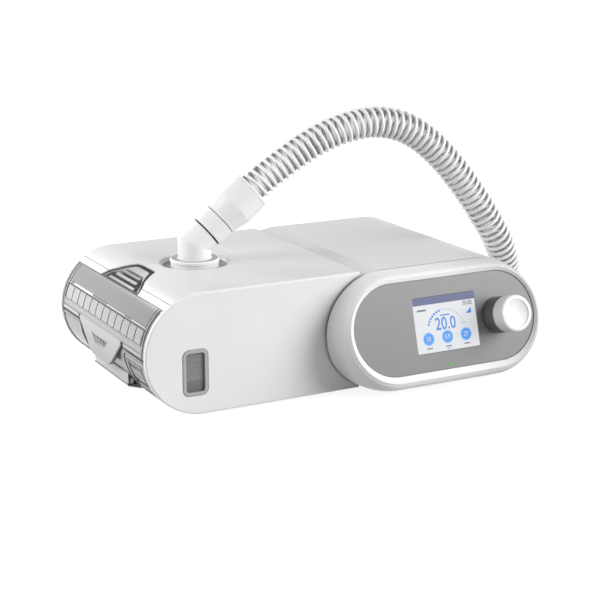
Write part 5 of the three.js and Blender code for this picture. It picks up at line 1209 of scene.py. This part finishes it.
# Hose: its centreline, then the helical bead and the clear wall
HOSE = {"radius": 11.7, "bead": 1.35, "wall_out": 9.9, "wall_in": 9.3, "pitch": 5.2, "lift": 0.15}
HOSE_ROUTE = [
    (110.3, 71, 162.6), (130, 68.2, 172.6), (148.5, 65.6, 178.2), (168, 63, 180.2), (190.2, 59.8, 175.2),
    (209.6, 57, 162.8), (226, 54.8, 147), (244.4, 52.2, 124.2), (258, 50.5, 104.5), (271.6, 51.7, 84.6),
    (284.2, 58.6, 65.3), (295.3, 70.8, 47.7), (304, 87.6, 32.8), (310, 108, 21.4), (312.8, 131, 14.4),
    (312.6, 155, 11.9), (312.2, 180, 11.85), (312.4, 205, 11.85), (312.8, 230, 11.85),
]
COIL = {"right_x": 313.0, "y": 298.6, "radius": 136.5, "pitch": 24.7, "sweep": 573.0, "from": 455.0,
        "to": 560.0, "climb": 25.6}
MASK_CUFF = {"radius": 13.5, "length": 38.0, "bore": 11.0, "deep": 22.0, "throat": 8.6}


def centripetal(points, steps=30):
    """A centripetal Catmull-Rom curve through points, as the CAD's hose follows."""
    padded = [points[0] * 2 - points[1], *points, points[-1] * 2 - points[-2]]
    out = []
    for i in range(len(points) - 1):
        p0, p1, p2, p3 = padded[i:i + 4]
        d0, d1, d2 = ((b - a).length ** 0.5 for a, b in ((p0, p1), (p1, p2), (p2, p3)))
        t1 = ((p1 - p0) / d0 - (p2 - p0) / (d0 + d1) + (p2 - p1) / d1) * d1
        t2 = ((p2 - p1) / d1 - (p3 - p1) / (d1 + d2) + (p3 - p2) / d2) * d1
        for k in range(steps):
            t = k / steps
            out.append(p1 + t1 * t + (p1 * -3 + p2 * 3 - t1 * 2 - t2) * t * t
                       + (p1 * 2 - p2 * 2 + t1 + t2) * t ** 3)
    return out + [points[-1]]


def coil_point(angle):
    c = COIL
    radius = c["radius"] - c["pitch"] * angle / 360
    share = min(1, max(0, (angle - c["from"]) / (c["to"] - c["from"])))
    turn = math.radians(angle)
    return Vector((c["right_x"] - c["radius"] + radius * math.cos(turn), c["y"] + radius * math.sin(turn),
                   HOSE["radius"] + HOSE["lift"] + c["climb"] * share * share * (3 - 2 * share)))


def hose_line():
    """The hose's centreline from its socket in the cuff to the mask cuff, and the last heading."""
    c = COIL
    start = MITRE + LEG * (CUFF_LOW + CUFF["length"] - CUFF["socket"] + GAP)
    mouth = MITRE + LEG * (CUFF_LOW + CUFF["length"] + HOSE["radius"])
    low = HOSE["radius"] + HOSE["lift"]
    join_y = c["y"] - 2 * HOSE["radius"]
    straight = Vector((c["right_x"], join_y - 2 * HOSE["radius"], low))
    free = centripetal([mouth, *(Vector(p) for p in HOSE_ROUTE), straight])
    steps = round(c["sweep"] / 360 * 72 * 2)
    turns = [coil_point(c["sweep"] * i / steps) for i in range(steps + 1)]
    heading = turns[-1] - coil_point(c["sweep"] - 1)
    heading.z = 0
    heading.normalize()
    end = turns[-1] + heading * 2 * HOSE["radius"]
    return even([start, *free, *turns, end], 1.0), heading


def even(points, step):
    """The same line with points at equal steps."""
    lengths = [0.0]
    for a, b in zip(points, points[1:]):
        lengths.append(lengths[-1] + (b - a).length)
    count = round(lengths[-1] / step)
    out, k = [], 0
    for i in range(count + 1):
        want = lengths[-1] * i / count
        while k < len(points) - 2 and lengths[k + 1] < want:
            k += 1
        share = (want - lengths[k]) / (lengths[k + 1] - lengths[k])
        out.append(points[k].lerp(points[k + 1], share))
    return out


def frames(points):
    """Tangent and two cross directions at each point, carried along without twist."""
    tangents = []
    for i in range(len(points)):
        tangents.append((points[min(i + 1, len(points) - 1)] - points[max(i - 1, 0)]).normalized())
    side = Vector((0, 0, 1)).cross(tangents[0]).normalized()
    out = []
    for tangent in tangents:
        side = (side - tangent * side.dot(tangent)).normalized()
        out.append((tangent, side, tangent.cross(side)))
    return out


def dress_hose(obj, material):
    obj.data.materials.append(material)
    obj.data.shade_smooth()
    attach(obj, "elbow_swivel")
    return obj


def bead_rings(line, triads, length):
    """The sections of the bead that winds round the hose's line."""
    per_turn, sides, pitch, bead = 20, 7, HOSE["pitch"], HOSE["bead"]
    centre = HOSE["radius"] - bead
    step = length / (len(line) - 1)
    count = int(length / pitch * per_turn)
    rings = []
    for i in range(count + 1):
        place = length * i / count
        k = min(int(place / step), len(line) - 2)
        share = place / step - k
        middle = line[k].lerp(line[k + 1], share)
        along_line, side, third = (a.lerp(b, share) for a, b in zip(triads[k], triads[k + 1]))
        angle = 2 * math.pi * place / pitch
        outward = side * math.cos(angle) + third * math.sin(angle)
        forward = ((third * math.cos(angle) - side * math.sin(angle)) * 2 * math.pi * centre
                   + along_line * pitch).normalized()
        across = forward.cross(outward)
        turns = [2 * math.pi * j / sides for j in range(sides)]
        rings.append([world(*(middle + outward * (centre + bead * math.cos(turn))
                              + across * bead * math.sin(turn)))
                      for turn in turns])
    return rings


def build_hose():
    line, heading = hose_line()
    triads = frames(line)
    length = sum((b - a).length for a, b in zip(line, line[1:]))
    bead = dress_hose(loft("hose_bead", bead_rings(line, triads, length)), HOSE_BEAD)
    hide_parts("hose_free", "hose_coil")

    turns = [2 * math.pi * j / 24 for j in range(24)]
    outer, inner = ([[world(*(point + (side * math.cos(turn) + third * math.sin(turn)) * radius))
                      for turn in turns]
                     for point, (_, side, third) in zip(line[::2], triads[::2])]
                    for radius in (HOSE["wall_out"], HOSE["wall_in"]))
    wall = dress_hose(loft("hose_wall", outer + inner[::-1], True), HOSE_CLEAR)
    wall.visible_shadow = False

    end = line[-1] + heading * GAP
    side = Vector((-heading.y, heading.x, 0))

    def on_end(u, v, w):
        return world(*(end + side * u + Vector((0, 0, 1)) * v + heading * w))

    m = MASK_CUFF
    radius, stop, seat = m["radius"], m["length"], m["length"] - m["deep"]
    profile = [(m["throat"], 0), (radius - 0.8, 0), (radius, 0.8), (radius, 5.5), (radius - 0.5, 6.1),
               (radius - 0.5, 30), (radius, 30.6), (radius, stop - 0.8), (radius - 0.8, stop),
               (m["bore"], stop), (m["bore"], seat), (m["throat"], seat)]
    cuff = dress_elbow(tube("mask_end_cuff", profile, on_end, segments=64), CUFF_WHITE, "mask_cuff")
    path = [world(*p) for p in line]
    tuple(path[0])


def see_through(name, color, roughness, alpha):
    """Thin clear plastic: mostly clear head on and whiter towards its edges."""
    material, nodes, links, principled = shader(name, color, roughness)
    facing = nodes.new("ShaderNodeLayerWeight")
    facing.inputs["Blend"].default_value = 0.35
    links.new(ranged(nodes, links, facing.outputs["Facing"], alpha), principled.inputs["Alpha"])
    tone = mottled(nodes, links, noise(nodes, links, 30, 3), color, 0.92, 1.08)
    links.new(tone, principled.inputs["Base Color"])
    bumped(nodes, links, principled, noise(nodes, links, 260, 2), 0.2, 0.0001)
    return material


HOSE_BEAD = moulded("hose_bead", grey(0.86), 0.28, 900, 0.00002, 0.01)
HOSE_CLEAR = see_through("hose_clear", grey(0.11), 0.15, (0.10, 0.76))

# Materials of the CAD pieces that stay as they are
CAD_FINISH = {name: material for material, names in (
    (ALUMINIUM, ["heater_plate"]),
    (HEATER_RING, ["heater_element"]),
    (STEEL, ["tank_heat_plate", "clip_pin", "blower_motor", "encoder", "knob_shaft",
             *(f"case_screw_{i}" for i in range(1, 5))]),
    (SEAL, ["tank_seal", "air_coupling"]),
    (WHITE, ["rear_panel", "filter_cover"]),
    (FILTER, ["filter_pad"]),
    (BLACK, ["power_inlet", "display_module", "encoder_plunger"]),
    (BLOWER, ["blower_housing", "blower_cover"]),
    (FOAM, ["foam_silencer"]),
    (BOARD, ["main_board", "display_board"]),
    (IMPELLER, ["blower_impeller"]),
    (RUBBER, [f"foot_{i}" for i in range(1, 5)]),
) for name in names}


def finish_cad():
    for name, node in frame["nodes"].items():
        if name in CAD_FINISH:
            node.data.materials.clear()
            node.data.materials.append(CAD_FINISH[name])
            node.data.set_sharp_from_angle(angle=math.radians(35))


# Light, floor and background
WORLD_LIGHT = 0.34
FLOOR_SIDE = 3.0
FLOOR_LIFT = 0.86


def sight(nodes, links):
    """1 for rays that see a surface, straight, reflected or through clear plastic, and 0 for its light."""
    path = nodes.new("ShaderNodeLightPath")
    out = path.outputs["Is Camera Ray"]
    for ray in ("Is Glossy Ray", "Is Transmission Ray"):
        larger = nodes.new("ShaderNodeMath")
        larger.operation = "MAXIMUM"
        links.new(out, larger.inputs[0])
        links.new(path.outputs[ray], larger.inputs[1])
        out = larger.outputs["Value"]
    return out


def add_world():
    setting = bpy.data.worlds.new("studio")
    setting.use_nodes = True
    nodes, links = setting.node_tree.nodes, setting.node_tree.links
    nodes.clear()
    mix = nodes.new("ShaderNodeMixShader")
    links.new(sight(nodes, links), mix.inputs["Fac"])
    for i, strength in ((1, WORLD_LIGHT), (2, 1.0)):
        background = nodes.new("ShaderNodeBackground")
        background.inputs["Color"].default_value = (1, 1, 1, 1)
        background.inputs["Strength"].default_value = strength
        links.new(background.outputs["Background"], mix.inputs[i])
    output = nodes.new("ShaderNodeOutputWorld")
    links.new(mix.outputs["Shader"], output.inputs["Surface"])
    bpy.context.scene.world = setting


def add_area(name, place, aim, size, power):
    data = bpy.data.lights.new(name, "AREA")
    data.shape = "DISK"
    data.size = size
    data.energy = power
    lamp = new_object(name, data)
    lamp.location = place
    lamp.rotation_euler = (Vector(aim) - Vector(place)).to_track_quat("-Z", "Y").to_euler()


def add_floor():
    corners = rect(-FLOOR_SIDE, -FLOOR_SIDE, FLOOR_SIDE, FLOOR_SIDE)
    floor = mesh_object("floor", [(x, y, 0) for x, y in corners], [(0, 1, 2, 3)])
    material, nodes, links, principled = shader("floor_white", grey(0.45), 0.9, 0.0, 0.0)
    tone = ramp(nodes, links, noise(nodes, links, 4, 2), [(0.3, grey(0.44)), (0.7, grey(0.46))])
    links.new(tone, principled.inputs["Base Color"])
    lift = nodes.new("ShaderNodeMath")
    lift.operation = "MULTIPLY"
    lift.inputs[1].default_value = FLOOR_LIFT
    links.new(sight(nodes, links), lift.inputs[0])
    principled.inputs["Emission Color"].default_value = (1, 1, 1, 1)
    links.new(lift.outputs["Value"], principled.inputs["Emission Strength"])
    floor.data.materials.append(material)


build_housing()
build_cover()
build_window()
build_tank_lid()
build_tank_base()
build_grip()
build_clip()
build_elbow()
build_main_shells()
build_console()
build_hose()
finish_cad()
add_world()
add_floor()
add_area("side_light", (-0.52, 0.12, 0.28), (-0.10, 0.0, 0.06), 0.35, 2.1)
add_area("back_light", (-0.28, 0.66, 0.51), (-0.12, 0.0, 0.08), 0.22, 1.3)
add_area("front_light", (1.40, -1.35, 0.87), (0.0, -0.02, 0.04), 1.8, 49)
bpy.context.scene.view_settings.view_transform = "Standard"
